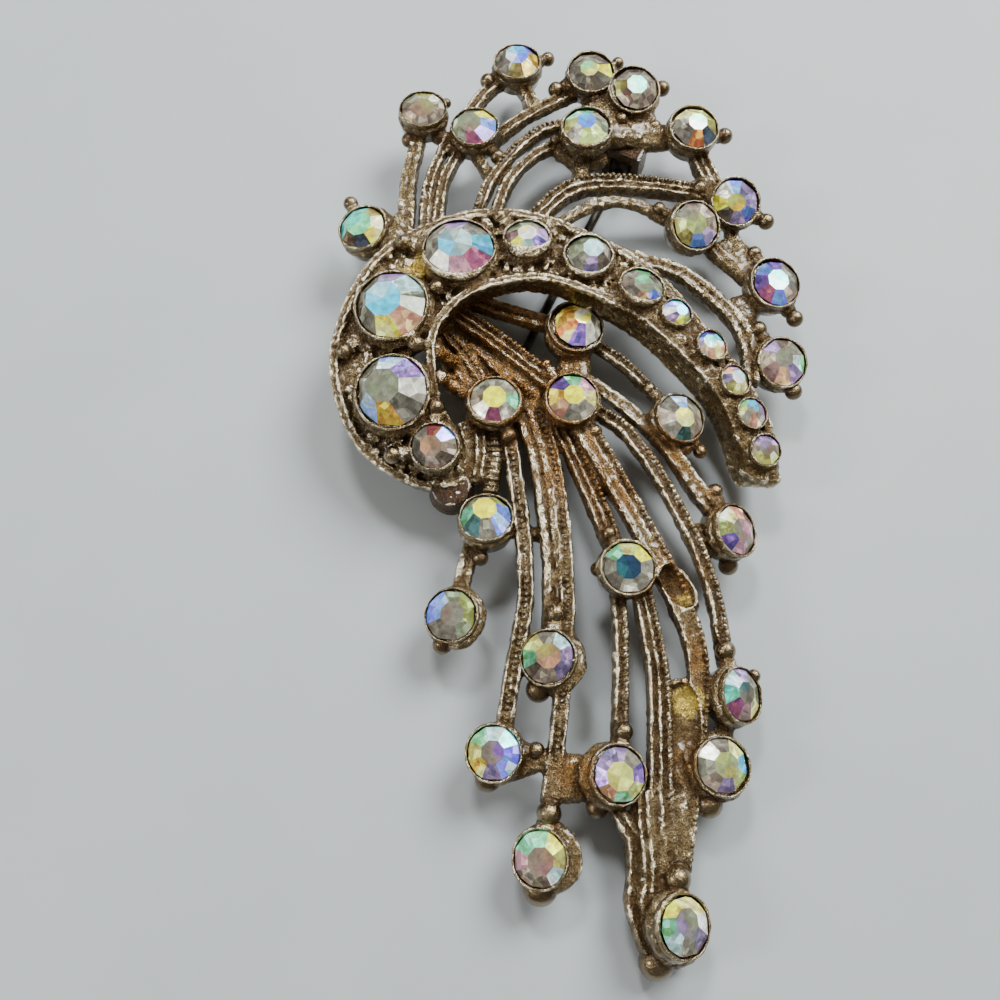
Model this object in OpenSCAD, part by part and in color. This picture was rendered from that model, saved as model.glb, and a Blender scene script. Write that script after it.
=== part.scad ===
// Floral sprig brooch: a cast crescent and two fans of stems set with cut stones.
// Lying face up on a table. +Y runs towards the upper sprigs, +Z up.

/* [Stones] */
// Width of a stone on a sprig
sprig_stone = 4.4; // [4.2:0.1:4.6]
// Width of the three large stones of the crescent
large_stone = 6.3; // [6:0.1:6.5]
// Width of the four middle stones of the crescent
middle_stone = 4; // [3.8:0.1:4.5]
// Width of the five small stones near the crescent's tip
small_stone = 2.7; // [2.4:0.1:2.9]
// Width of a stone's flat table, as a share of its width
table_share = 0.52; // [0.4:0.02:0.6]
// Height of a stone's crown, as a share of its width
crown_share = 0.17; // [0.12:0.01:0.22]
// Depth of a stone's pointed back, as a share of its width
back_share = 0.36; // [0.3:0.01:0.4]

/* [Cups] */
// Thickness of a cup's wall at its rim
cup_wall = 0.25; // [0.2:0.05:0.4]
// Height of a cup's rim over the widest line of its stone
cup_rim = 0.1; // [0.05:0.05:0.2]
// Depth of a sprig's cup below that line
cup_depth = 2.3; // [2:0.1:2.8]
// Clearance all round a stone in its cup
seat_gap = 0.05; // [0.03:0.01:0.1]

/* [Stems] */
// Thickness of a stem of two strands, as a share of its width
stem_share = 0.8; // [0.6:0.05:1]
// Radius of the small balls beside the cups
ball_r = 0.65; // [0.5:0.05:0.8]

/* [Crescent] */
// Width of the raised rim along each edge
rim_w = 0.9; // [0.6:0.1:1.2]
// Height of the rims over the floor between them
rim_h = 0.9; // [0.5:0.1:1.3]
// Height of the crescent's outer and inner walls
wall_h = 3.4; // [2.5:0.1:4]
// Thickness of the floor that carries the cups
floor_t = 1.2; // [0.9:0.1:1.6]

/* [Pin] */
// Thickness of the pin's wire
pin_d = 0.9; // [0.8:0.05:1.1]
// Height of the pin's axis over the table
pin_z = 1.6; // [1.5:0.05:1.9]
// Clearance of the pin in the hinge and in the catch
pin_gap = 0.12; // [0.1:0.01:0.2]

/* [Hidden] */

// Where each stone sits: [x, y, z] at the middle of its widest line, then how far
// it leans, [degrees towards +X, degrees towards +Y], then its width.
CRESCENT_STONES = [
    [[-10.25, 17.75, 10],   [ -2,   6], large_stone],
    [[-16.25, 12.25, 9.5],  [ -8,  -6], large_stone],
    [[-16, 4, 9],           [-10, -14], large_stone],
    [[-12.25, -0.75, 8],    [ -4, -12], middle_stone],
    [[-4, 19, 10],          [  0,  10], middle_stone],
    [[1.75, 17.5, 9.5],     [  2,   2], middle_stone],
    [[6.5, 14.5, 9],        [ 12,  12], middle_stone],
    [[9.6, 12, 8.5],        [ 14,   2], small_stone],
    [[12.7, 9, 8],          [ 18,   0], small_stone],
    [[14.7, 5.75, 7.5],     [ 20,  -2], small_stone],
    [[16.1, 2.75, 7],       [ 18,  -4], small_stone],
    [[17.2, -0.6, 6.5],     [ 14,  -8], small_stone],
];
UPPER_STONES = [
    [[-19.75, 22.25, 6.5],  [-14,   0], sprig_stone],
    [[-14.25, 36, 6.5],     [  0,   7], sprig_stone],
    [[-9, 33.5, 7],         [  0,   6], sprig_stone],
    [[-4.75, 42.25, 6],     [  0,   5], sprig_stone],
    [[2.75, 40.5, 6.5],     [  0,  -3], sprig_stone],
    [[7.25, 38.5, 6.5],     [  4,  -8], sprig_stone],
    [[2, 33, 7.5],          [  0,   4], sprig_stone],
    [[13, 33.75, 6.5],      [  4,  -3], sprig_stone],
    [[16.5, 25.5, 6],       [  6, -16], sprig_stone],
    [[12.25, 22.25, 7],     [ 12, -16], sprig_stone],
    [[19.75, 16.5, 6],      [ 10,  -6], sprig_stone],
    [[19.75, 8.5, 5.5],     [ 10, -12], sprig_stone],
];
LOWER_STONES = [
    [[0.75, 11.75, 6.5],    [  8,   4], sprig_stone],
    [[-7, 4, 7],            [  0,   0], sprig_stone],
    [[0, 4, 7.5],           [  0,   0], sprig_stone],
    [[9.75, 2.5, 6.5],      [ 18,   0], sprig_stone],
    [[-7.75, -6.75, 6],     [  0,  14], sprig_stone],
    [[-10.75, -15.25, 5],   [-14,   0], sprig_stone],
    [[14.25, -7.75, 5.5],   [ 34,   0], sprig_stone],
    [[4.5, -11.5, 7],       [  6,   0], sprig_stone],
    [[-2.5, -19, 6],        [-14,   0], sprig_stone],
    [[-7, -26.75, 5],       [-10,   0], sprig_stone],
    [[3.25, -28.5, 5.5],    [ 18,   0], sprig_stone],
    [[13.75, -22, 5],       [ 36,   0], sprig_stone],
    [[11.75, -27.75, 5],    [ 14,   0], sprig_stone],
    [[-3.25, -35, 4.5],     [-18,   0], sprig_stone],
    [[8, -40, 5],           [ 26,   0], sprig_stone],
];

// Stations along the crescent, from its round end to its tip:
// [outer edge x, y, z], [inner edge x, y, z].
CRESCENT = [
    [[-10.5, -4, 5],        [-9.5, -2, 5.6]],
    [[-15, -3.25, 5.4],     [-10, 0.5, 7.2]],
    [[-19.5, 0, 6],         [-11.5, 3, 8.4]],
    [[-22, 6, 7],           [-12.25, 6.5, 9]],
    [[-21.5, 12, 7.8],      [-12, 10, 9.5]],
    [[-18, 18.5, 8.5],      [-9.5, 13, 9.8]],
    [[-11, 22.25, 9],       [-5.5, 14.5, 10]],
    [[-4, 22.75, 8.8],      [-1.5, 14.5, 9.9]],
    [[3, 20.25, 8.4],       [3, 13, 9.3]],
    [[8.5, 16.75, 7.6],     [7, 10.75, 8.8]],
    [[13, 11.25, 6.8],      [10.75, 7.25, 8.1]],
    [[16.5, 6.5, 6],        [13.25, 4, 7.5]],
    [[18.5, 1.75, 5.4],     [14.75, 0.5, 6.7]],
    [[18.75, -2.75, 4.8],   [16, -3, 5.4]],
];

// Stems: width at the root, width at the far end, then the points that the stem
// runs through. A width over 1.3 is a pair of strands.
UPPER_STEMS = [
    [1.8, 1.6, [[-15.5, 20, 6.4], [-15.5, 28.5, 5.5], [-14.5, 35, 4.6]]],
    [1.3, 1.2, [[-13.75, 20.5, 6.6], [-13.5, 27.5, 5.8], [-11.75, 33.5, 5]]],
    [1.3, 1.3, [[-12.5, 21, 6.8], [-12, 28, 5.8], [-9.75, 33, 5]]],
    [1.2, 1.2, [[-9.25, 32, 5], [-7.5, 28.5, 5.9]]],
    [1.3, 1.2, [[-9.25, 21.25, 6.8], [-7.25, 28, 6.2], [-2.5, 34, 5.4], [1.5, 35, 5.2]]],
    [1.3, 1.2, [[-7.5, 21.25, 6.8], [-5.5, 28, 6], [-1.5, 32.25, 5.2], [2, 32.5, 5]]],
    [1.6, 1.4, [[-7.25, 33, 5.2], [-4.5, 35.75, 5], [-1.25, 38, 4.8], [2.5, 40, 4.5]]],
    [1.5, 1.5, [[-10, 36, 4.8], [-7.75, 39.75, 4.6], [-5, 41.75, 4.2]]],
    [1.7, 1.7, [[-3, 37, 4.8], [-3.75, 39.5, 4.5], [-4.75, 41.75, 4.2]]],
    [2, 1.8, [[-4.5, 21.25, 6.8], [0.25, 26.5, 6.1], [5.25, 27.75, 5.6], [13.5, 27.25, 4.7]]],
    [1.4, 1.3, [[-3, 21.25, 6.4], [2.25, 25, 5.8], [6.5, 25.5, 5.6], [11.5, 23, 5]]],
    [2, 2, [[13.25, 33, 4.4], [14, 30.25, 4.4], [15.5, 26.5, 4.2]]],
    [1.4, 1.4, [[16.25, 25, 4], [16.5, 22.25, 4], [18.75, 18.5, 4]]],
    [1.5, 1.5, [[13, 22, 4.8], [15.75, 19.75, 4.2], [18.5, 17, 4]]],
    [1.6, 1.8, [[2.5, 19.5, 6.6], [9.25, 18.25, 5.8], [13, 16, 5.2], [16, 12.75, 4.8],
                [17, 9, 4.6], [16.75, 6.5, 5]]],
];
LOWER_STEMS = [
    [1.8, 1.6, [[-11, 15.5, 6], [-6.5, 14, 5.2], [-0.5, 12.25, 4.8]]],
    [2.1, 2.1, [[-11.25, 13.75, 5.8], [-6.5, 10.5, 5], [-0.75, 5.5, 5.2]]],
    [1, 1, [[-12, 13, 5.4], [-8.75, 10, 4.6], [-2.5, 4.5, 4.8]]],
    [1.2, 1.2, [[-12.5, 12.5, 5.4], [-9.75, 9.5, 4.6], [-7, 5, 4.8]]],
    [1, 1, [[-13, 11.5, 5.4], [-11, 8.75, 4.4], [-8, 3.5, 4.8]]],
    [1.3, 1.2, [[1.5, 11.25, 4.8], [5.25, 8.25, 5], [9, 4, 4.8]]],
    [1.2, 1.8, [[1, 7, 5.2], [4.5, 4.25, 5.4], [8.5, 0.25, 5.2], [13, -6.5, 4.2]]],
    [1.6, 1.6, [[1, 4.5, 5.2], [5.25, 1.25, 5.4], [9, -5.5, 5.6], [11.75, -12.5, 5.2],
                [13, -20, 3.8]]],
    [2.5, 1.6, [[0.75, 2.5, 5.4], [3.25, -2.5, 5.8], [7.5, -11, 5.7], [10.25, -19, 4.9],
                [9.5, -28, 4], [8.25, -36, 3.4]]],
    [1.9, 2, [[-1, 2.5, 5], [1, -2.75, 5.4], [3.75, -9.75, 5.1]]],
    [1.5, 1.5, [[3.75, -12, 5], [3.75, -18, 5.2], [3.5, -27, 3.8]]],
    [1.9, 2.4, [[5.5, -12, 5.3], [6.75, -20, 5.1], [6.75, -30, 3.9], [7.25, -39, 2.8]]],
    [1.9, 1.9, [[-4.5, 4.25, 5], [-3, -2, 5.5], [-2, -10, 5.6], [-2, -17, 4.6]]],
    [1.1, 1.6, [[-3.25, 4.5, 5], [-1.5, -2.25, 5.4], [-0.75, -12, 5.6], [-1.25, -22, 4.8],
                [-2.75, -33, 3.2]]],
    [1.5, 1.5, [[-6, 2.5, 4.8], [-5, -3.5, 5.3], [-4.25, -12.75, 5.4], [-5.5, -20.75, 4.6],
                [-6.25, -25.5, 3.4]]],
    [1.6, 1.7, [[-7, 3, 4.8], [-7, -1, 4.8], [-7.5, -5.5, 4.4]]],
    [1.7, 1.6, [[-8.5, -7, 4.2], [-9.5, -10.5, 3.9], [-10.25, -14.25, 3.2]]],
    [1.8, 2, [[2.5, -30, 3.6], [4.75, -33.5, 3.6], [4.75, -37, 3.2], [6.5, -41.5, 2.4]]],
];

// Cast webs where stems and cups run together, each a skin around a few points:
// thickness, then the points.
WEBS = [
    [1.8, [[-19, 21.5, 5], [-16.5, 20, 6.5], [-16.25, 23, 6]]],
    [1.4, [[-13.5, 34.5, 4.8], [-10.5, 33, 5]]],
    [2.2, [[3, 39, 4.6], [7.5, 37.5, 4.4], [4.25, 34, 4.8], [7.5, 34.25, 4.2]]],
    [1.6, [[-0.25, 32, 4.8], [3.5, 31.5, 4.6], [1.75, 30.5, 4.6]]],
    [1.6, [[1.75, 31, 4.8], [1.25, 27.25, 5.4]]],
    [1.8, [[7.5, 35.5, 4.4], [7.5, 33.75, 4], [12, 34, 4.4]]],
    [1.5, [[13, 28, 4.6], [14.5, 29, 4.4], [14, 26.5, 4.6]]],
    [1.5, [[16.25, 22, 4], [18.5, 20, 4], [17.5, 18, 4], [14.5, 21, 4.2]]],
    [1.6, [[18.75, 16, 4.2], [16.25, 15, 4.4], [16.5, 12.75, 4.4]]],
    [1.4, [[17, 9, 4.6], [19, 8.5, 4]]],
    [1.5, [[-0.25, 10.5, 4.8], [1.25, 10.25, 4.8], [-0.5, 6.5, 5.2], [1, 6, 5.2]]],
    [1.4, [[-6, 4.25, 5], [-1, 4, 5.4]]],
    [1.2, [[-9.5, 2, 5], [-7.5, 2, 4.8], [-9.25, -2.5, 4.4], [-8, -2.5, 4.4]]],
    [1.2, [[-6.5, -7.5, 4.4], [-1.75, -8.25, 5.2]]],
    [1.4, [[13.25, -7, 4], [10.25, -8, 5], [11.25, -10, 4.8]]],
    [1.2, [[5.75, -10.5, 5], [8, -11, 5.4]]],
    [1.6, [[8.75, -13, 5], [8, -11, 5], [9, -15, 4.6]]],
    [1.4, [[-6, -25.75, 3.6], [-2.5, -27.25, 4], [-5.5, -28.25, 3.4]]],
    [1.6, [[-2, -27.5, 4], [-2.25, -30, 3.8], [2.25, -27.75, 3.6], [2.25, -29.5, 3.4]]],
    [1.2, [[7.5, -21.5, 4.2], [10, -21, 4.2], [7, -30, 3.6], [9.25, -29, 3.6]]],
    [1.5, [[10.75, -27.5, 3.4], [8.25, -28.25, 3.8], [9.25, -30.25, 3.6]]],
    [1.4, [[5, -30.5, 3.8], [8.5, -30.5, 4], [5.5, -39, 2.8], [8, -38, 3]]],
    [1.4, [[14, -21.5, 3.6], [12.75, -23.5, 3.8], [11.75, -26.5, 3.6]]],
    [1.8, [[-11.5, 14.75, 6.4], [-12.5, 12.25, 6], [-10, 13.5, 5.2]]],
    [1.3, [[-12, 4.5, 6.6], [-9, 3.5, 5]]],
    [1.3, [[-12.5, 9, 7], [-10.5, 8.75, 4.6]]],
];

// Small balls, drawn out towards the nearest cup: [x, y, z] of the round end, then
// the radius as a multiple of ball_r.
BALLS = [
    [[-21.25, 26, 5], 1], [[-15.75, 33.5, 5], 1], [[-12, 34, 4.8], 0.8], [[-12, 38, 5], 0.7],
    [[-11.5, 32, 5.5], 1], [[-6.75, 30.75, 6], 1], [[-1.5, 44, 4.5], 1], [[-7.75, 40.75, 5], 1.1],
    [[5.75, 43, 5], 0.9], [[-0.75, 39.5, 5.2], 1.1], [[3.25, 38.25, 5.5], 0.8],
    [[10.25, 40, 4.8], 1.1], [[5.75, 35.5, 5.6], 1], [[-1, 32.75, 6], 0.7], [[16.25, 34, 5], 1.1],
    [[9.25, 35.25, 4.8], 1], [[19.75, 24.25, 4.6], 1.1], [[13.25, 27.5, 5.4], 1.1],
    [[9, 24.75, 6], 0.9], [[21.75, 13.75, 4.2], 1.1], [[18.25, 20.5, 4.8], 1],
    [[21, 6.25, 4], 1.1], [[18, 12.25, 4.8], 1.1],
    [[-5.75, 1, 6], 1], [[-10.75, 5.75, 6], 1], [[2, 1.25, 6.2], 1], [[-2.25, 8, 6.2], 0.7],
    [[11.75, 0, 4.6], 0.9], [[7.25, 5.75, 5.6], 0.9], [[10.25, 0, 5.2], 0.9],
    [[-8.25, -10, 4.6], 1], [[-11.5, -17.5, 3.6], 1.2], [[13.75, -10.5, 3.8], 1.2],
    [[12.75, -4, 5], 1], [[2, -11.25, 5.4], 0.9], [[3, -8.25, 6.2], 0.9],
    [[-1.75, -15.25, 6], 1.2], [[-3.25, -21.5, 4.4], 1.5], [[-7.5, -28.75, 3.6], 1.5],
    [[-3.5, -26.5, 4.4], 1], [[3.75, -25, 5], 1.1], [[1.5, -31, 3.8], 1.3],
    [[15.25, -20.25, 3.8], 0.8], [[12.75, -18.25, 4.8], 1.2], [[10.75, -30.75, 3.6], 1.6],
    [[-2.5, -31.5, 4.4], 1.4], [[-3.25, -37.25, 3], 2], [[7.75, -36.5, 4.2], 1.7],
    [[6.25, -43.65, 1.4], 2.1], [[-9.5, -1, 5.8], 0.9],
    [[-15.5, 19.25, 8.8], 1], [[-12.25, 14, 9.6], 1], [[-14, 8.5, 9.2], 1.1],
    [[-20.75, 8.75, 7.2], 1.1], [[-16, -1.25, 7], 1.1], [[-6.5, 22, 8.8], 1],
    [[-12.25, 2.75, 8.4], 1.1], [[17.25, -3, 5.6], 1],
];

// Slits cut right through the crescent's floor: [x, y], [length, width], turn.
SLITS = [
    [[-13.1, 7.75], [2.3, 1.1], 65],
];

// Columns of the tables above
AT = 0;
LEAN = 1;
WIDTH = 2;
OUTER = 0;
INNER = 1;
ROOT_W = 0;
END_W = 1;
ROUTE = 2;

// Cross-sections of a stem, [across, up], for a width and a thickness of 1
STRAND = [[-0.5, 0], [0, -0.5], [0.5, 0], [0.3, 0.45], [-0.3, 0.45]];
PAIR = [[-0.5, 0], [0, -0.5], [0.5, 0], [0.27, 0.5], [0, 0.22], [-0.27, 0.5]];

METAL = [0.70, 0.66, 0.54];
CRYSTAL = [0.80, 0.86, 0.88];

ROUTE_STEPS = 2;
CRESCENT_STEPS = 2;

HINGE = [6.5, 33.5];
CATCH = [-11.3, -3];
pin_turn = atan2(CATCH.y - HINGE.y, CATCH.x - HINGE.x);
pin_l = norm(CATCH - HINGE);
knuckle_d = 2 * pin_z - 2 * pin_gap;
knuckle_w = 1.8;
ear_t = 0.9;
plate_z = 3.2;
ear_w = 2.8;
plate_t = 1.2;
hook_t = 1.4;
mouth = 0.8 * (pin_d + 2 * pin_gap);
disc_r = 2.1;
disc_top_r = 1.8;
disc_t = 2.4;
disc_z = 2.9;
disc_back = 0.6;

// A cup's foot as a share of its rim, and the room under a stone's tip
cup_foot = 0.8;
tip_gap = 3 * seat_gap;
seat_top = 1.8;

// A ball's neck runs to this depth below its stone, for so many radii at the most,
// and stops at this share of the stone's width
ball_root = 1.2;
longest_neck = 4;
neck_stop = 0.4;

// A web's corners are octahedra, so they are swollen to keep its thickness
web_swell = 1.25;

// The crescent's floor starts this many rim widths in from its edge, above and below
foot_in = 1.4;
under_in = 1.6;
slit_h = 12;

STONE_GROUPS = [
    ["crescent_stone_", CRESCENT_STONES],
    ["upper_stone_", UPPER_STONES],
    ["lower_stone_", LOWER_STONES],
];
ALL_STONES = [for (group = STONE_GROUPS) each group[1]];
STONE_NAMES = [for (group = STONE_GROUPS, i = [1 : len(group[1])]) str(group[0], i)];

function unit(v) = v / norm(v);
function held(p, i) = p[max(0, min(len(p) - 1, i))];

// A smooth curve through the points p, with some steps between each two
function between(a, b, c, d, t) =
    0.5 * (2 * b + (c - a) * t + (2 * a - 5 * b + 4 * c - d) * t * t
           + (3 * b - a - 3 * c + d) * t * t * t);
function smooth(p, steps) = [
    for (i = [0 : len(p) - 2], k = [0 : steps - 1])
        between(held(p, i - 1), p[i], p[i + 1], held(p, i + 2), k / steps),
    p[len(p) - 1],
];

// Faces of a skin over rings of m points, closed by its first and last ring
function skin_faces(rings, m) = concat(
    [[for (j = [m - 1 : -1 : 0]) j]],
    [[for (j = [0 : m - 1]) (rings - 1) * m + j]],
    [for (i = [0 : rings - 2], j = [0 : m - 1]) [i * m + j, i * m + (j + 1) % m, (i + 1) * m + j]],
    [for (i = [0 : rings - 2], j = [0 : m - 1])
        [i * m + (j + 1) % m, (i + 1) * m + (j + 1) % m, (i + 1) * m + j]]
);

module placed(stone) {
    lean = stone[LEAN];
    translate(stone[AT]) rotate([-lean.y, lean.x, 0]) children();
}

// A brilliant cut: an eight-sided table, eight crown facets that meet in a waved
// line at the stone's edge, and a pointed back.
module stone(row) {
    r = row[WIDTH] / 2;
    table_r = r * table_share;
    crown_h = row[WIDTH] * crown_share;
    table_flat = table_r * cos(22.5);
    wave = crown_h * (r - r * cos(22.5)) / (r - table_flat);
    top = [for (i = [0 : 7]) [table_r * cos(45 * i), table_r * sin(45 * i), crown_h]];
    edge = [for (i = [0 : 15]) [r * cos(22.5 * i), r * sin(22.5 * i), i % 2 == 0 ? wave : 0]];
    points = concat(top, edge, [[0, 0, -row[WIDTH] * back_share]]);
    faces = concat(
        [[7, 6, 5, 4, 3, 2, 1, 0]],
        [for (i = [0 : 7]) [i, (i + 1) % 8, 8 + (2 * i + 2) % 16, 9 + 2 * i, 8 + 2 * i]],
        [for (i = [0 : 15]) [8 + i, 8 + (i + 1) % 16, 24]]
    );
    color(CRYSTAL) placed(row) polyhedron(points, faces);
}

function seat_r(row) = (row[WIDTH] / 2 + seat_gap) / cos(180 / cup_sides(row));
function seat_depth(row) = row[WIDTH] * back_share + tip_gap;
function wide_at(row, h) = seat_r(row) * (seat_depth(row) + h) / seat_depth(row);
function rim_r(row) = wide_at(row, cup_rim);
function cup_sides(row) = row[WIDTH] == large_stone ? 14 : row[WIDTH] == small_stone ? 8 : 10;

// A cup before its seat is cut: a short cone that widens to the rim
module cup(row) {
    placed(row) translate([0, 0, -cup_depth])
        cylinder(
            h = cup_depth + cup_rim, r1 = cup_foot * rim_r(row), r2 = rim_r(row) + cup_wall,
            $fn = cup_sides(row)
        );
}

// The room for a stone: a cone that follows its back, open above the rim
module seat(row) {
    over = cup_rim + seat_gap;
    placed(row) rotate_extrude($fn = cup_sides(row)) polygon([
        [0, -seat_depth(row)], [wide_at(row, over), over], [wide_at(row, over), seat_top],
        [0, seat_top],
    ]);
}

module stem(row) {
    path = smooth(row[ROUTE], ROUTE_STEPS);
    profile = row[ROOT_W] > 1.3 ? PAIR : STRAND;
    last = len(path) - 1;
    points = [
        for (i = [0 : last])
            let (
                along = unit(path[min(i + 1, last)] - path[max(i - 1, 0)]),
                across = unit(cross(along, [0, 0, 1])),
                up = cross(across, along),
                w = row[ROOT_W] + (row[END_W] - row[ROOT_W]) * i / last,
                h = row[ROOT_W] > 1.3 ? w * stem_share : w
            )
            for (q = profile) path[i] + across * q.x * w + up * q.y * h
    ];
    polyhedron(points, skin_faces(last + 1, len(profile)));
}

module web(row) {
    hull() for (p = row[1]) translate(p) sphere(d = web_swell * row[0], $fn = 4);
}

// The row of the stone nearest to a point
function nearest(p) =
    let (near = min([for (row = ALL_STONES) norm(row[AT] - p)]))
    [for (row = ALL_STONES) if (norm(row[AT] - p) <= near) row][0];

// The direction in which a stone's table faces
function facing(row) =
    let (x = row[LEAN].x, y = row[LEAN].y)
    [cos(y) * sin(x), sin(y), cos(y) * cos(x)];

// A small ball of twenty faces, drawn out into the wall of the nearest cup
module ball(row) {
    r = ball_r * row[1];
    ring_r = r * 2 / sqrt(5);
    cup_row = nearest(row[0]);
    way = cup_row[AT] - ball_root * facing(cup_row) - row[0];
    along = unit(way);
    across = unit(cross(along, [0, 0, 1]));
    up = cross(across, along);
    reach = along * max(0, min(longest_neck * r, norm(way) - neck_stop * cup_row[WIDTH]));
    points = [
        -along * r,
        for (i = [0 : 4]) ring_r * (across * cos(72 * i) + up * sin(72 * i)) - along * r / sqrt(5),
        for (i = [0 : 4])
            ring_r * (across * cos(72 * i + 36) + up * sin(72 * i + 36)) + along * r / sqrt(5) + reach,
        along * r + reach,
    ];
    faces = [
        for (i = [0 : 4]) each [
            [0, 1 + (i + 1) % 5, 1 + i],
            [1 + i, 1 + (i + 1) % 5, 6 + i],
            [6 + i, 1 + (i + 1) % 5, 6 + (i + 1) % 5],
            [6 + i, 6 + (i + 1) % 5, 11],
        ]
    ];
    translate(row[0]) polyhedron(points, faces);
}

// The crescent's body: two raised rims, a floor between them, and a hollow back
module crescent_body() {
    outer = smooth([for (row = CRESCENT) row[OUTER]], CRESCENT_STEPS);
    inner = smooth([for (row = CRESCENT) row[INNER]], CRESCENT_STEPS);
    down = [0, 0, -1];
    points = [
        for (i = [0 : len(outer) - 1])
            let (
                a = outer[i],
                b = inner[i],
                in_w = norm(b - a),
                u = unit(b - a),
                rim = min(rim_w, in_w / 4),
                drop = min(rim_h, in_w / 4),
                wall = min(wall_h, in_w)
            )
            each [
                a,
                a + down * wall + u * rim,
                a + down * (drop + floor_t) + u * rim * under_in,
                b + down * (drop + floor_t) - u * rim * under_in,
                b + down * wall - u * rim,
                b,
                b - u * rim,
                b - u * rim * foot_in + down * drop,
                a + u * rim * foot_in + down * drop,
                a + u * rim,
            ]
    ];
    polyhedron(points, skin_faces(len(outer), 10));
}

module slit(row) {
    translate([row[0].x, row[0].y, 0]) rotate(row[2]) scale([row[1].x / 2, row[1].y / 2, 1])
        cylinder(h = slit_h, $fn = 8);
}

// The bracket that holds the pin's hinge, soldered under the upper cluster
module hinge_bracket() {
    ear = knuckle_w / 2 + pin_gap;
    translate([HINGE.x, HINGE.y, 0]) rotate(pin_turn) {
        for (side = [-1, 1])
            translate([-ear_w / 2, side > 0 ? ear : -ear - ear_t, 0])
                cube([ear_w, ear_t, plate_z + plate_t / 2]);
        translate([-ear_w / 2, -ear - ear_t, plate_z]) cube([ear_w, 2 * (ear + ear_t), plate_t]);
    }
}

// The catch: a hook that the pin's end lies in, under the crescent's round end
module catch() {
    inside = pin_d / 2 + pin_gap;
    translate([CATCH.x, CATCH.y, 0]) rotate(pin_turn) {
        translate([0, 0, pin_z]) rotate([90, 0, 90]) linear_extrude(hook_t, center = true)
            difference() {
                circle(r = pin_z, $fn = 20);
                circle(r = inside, $fn = 12);
                translate([0, -mouth / 2]) square([2 * pin_z, mouth]);
            }
        translate([-disc_back, 0, disc_z])
            cylinder(r1 = disc_r, r2 = disc_top_r, h = disc_t, $fn = 12);
    }
}

module casting() {
    color(METAL) difference() {
        union() {
            crescent_body();
            for (row = ALL_STONES) cup(row);
            for (row = UPPER_STEMS) stem(row);
            for (row = LOWER_STEMS) stem(row);
            for (row = WEBS) web(row);
            for (row = BALLS) ball(row);
            hinge_bracket();
            catch();
        }
        for (row = ALL_STONES) seat(row);
        for (row = SLITS) slit(row);
    }
}

module pin_stem() {
    color(METAL) translate([HINGE.x, HINGE.y, pin_z]) rotate(pin_turn) {
        rotate([90, 0, 0]) cylinder(d = knuckle_d, h = knuckle_w, center = true, $fn = 48);
        rotate([0, 90, 0]) cylinder(d = pin_d, h = pin_l + 1, $fn = 48);
    }
}

casting();
pin_stem();
for (i = [0 : len(ALL_STONES) - 1])
    stone(ALL_STONES[i]);
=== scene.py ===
import math

import bmesh
import bpy
import numpy as np
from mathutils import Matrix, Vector


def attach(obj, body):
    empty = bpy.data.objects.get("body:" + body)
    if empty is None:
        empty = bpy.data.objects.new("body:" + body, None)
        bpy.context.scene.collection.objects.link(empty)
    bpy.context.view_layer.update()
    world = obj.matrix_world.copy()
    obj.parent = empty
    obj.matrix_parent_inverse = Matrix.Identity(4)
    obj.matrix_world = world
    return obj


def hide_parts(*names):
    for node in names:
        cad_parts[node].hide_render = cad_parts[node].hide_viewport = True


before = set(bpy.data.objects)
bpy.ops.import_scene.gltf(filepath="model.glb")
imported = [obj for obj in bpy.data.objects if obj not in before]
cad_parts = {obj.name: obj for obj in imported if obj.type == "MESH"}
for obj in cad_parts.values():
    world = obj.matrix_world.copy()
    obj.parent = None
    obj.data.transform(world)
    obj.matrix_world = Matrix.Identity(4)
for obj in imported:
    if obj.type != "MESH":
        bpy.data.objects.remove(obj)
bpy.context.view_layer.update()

# The crescent: a broad curved band of cast white metal with two raised rims, walls
# that stand on a hollow back, and a rough floor between the rims where the cups
# stand. The sprigs are part of the same casting.

MM = 0.001
# how fine the skin of a cast piece is (mm), its most triangles, and the most points of
# a loose shell that is left out
VOXEL = 0.14
MOST_TRIANGLES = 188000
SPECK = 100
rng = np.random.default_rng(7)

# outer edge, then inner edge, from the round end to the tip (mm)
STATIONS = [
    ((-10.5, -4, 5), (-9.5, -2, 5.6)),
    ((-15, -3.25, 5.4), (-10, 0.5, 7.2)),
    ((-19.5, 0, 6), (-11.5, 3, 8.4)),
    ((-22, 6, 7), (-12.25, 6.5, 9)),
    ((-21.5, 12, 7.8), (-12, 10, 9.5)),
    ((-18, 18.5, 8.5), (-9.5, 13, 9.8)),
    ((-11, 22.25, 9), (-5.5, 14.5, 10)),
    ((-4, 22.75, 8.8), (-1.5, 14.5, 9.9)),
    ((3, 20.25, 8.4), (3, 13, 9.3)),
    ((8.5, 16.75, 7.6), (7, 10.75, 8.8)),
    ((13, 11.25, 6.8), (10.75, 7.25, 8.1)),
    ((16.5, 6.5, 6), (13.25, 4, 7.5)),
    ((18.5, 1.75, 5.4), (14.75, 0.5, 6.7)),
    ((18.75, -2.75, 4.8), (16, -3, 5.4)),
]
# the band's section (mm), then shares of a rim's width inwards where its floor starts
# on top and underneath, and how far out and down the wall has its knee
WALL_H = 3.4
RIM_W = 0.9
RIM_H = 0.9
FLOOR_T = 1.2
FLOOR_FROM = 1.4
UNDER_FROM = 1.6
KNEE = (0.4, 0.5)
# along the band, how far the inner wall's foot lies in from its edge: below 0 it stands
# out towards the hub, as a share of the rim's width
INNER_FOOT = ((0, 0.5, 0.6, 0.72, 1), (0.7, 0.6, -0.2, -0.9, -1.1))
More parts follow.
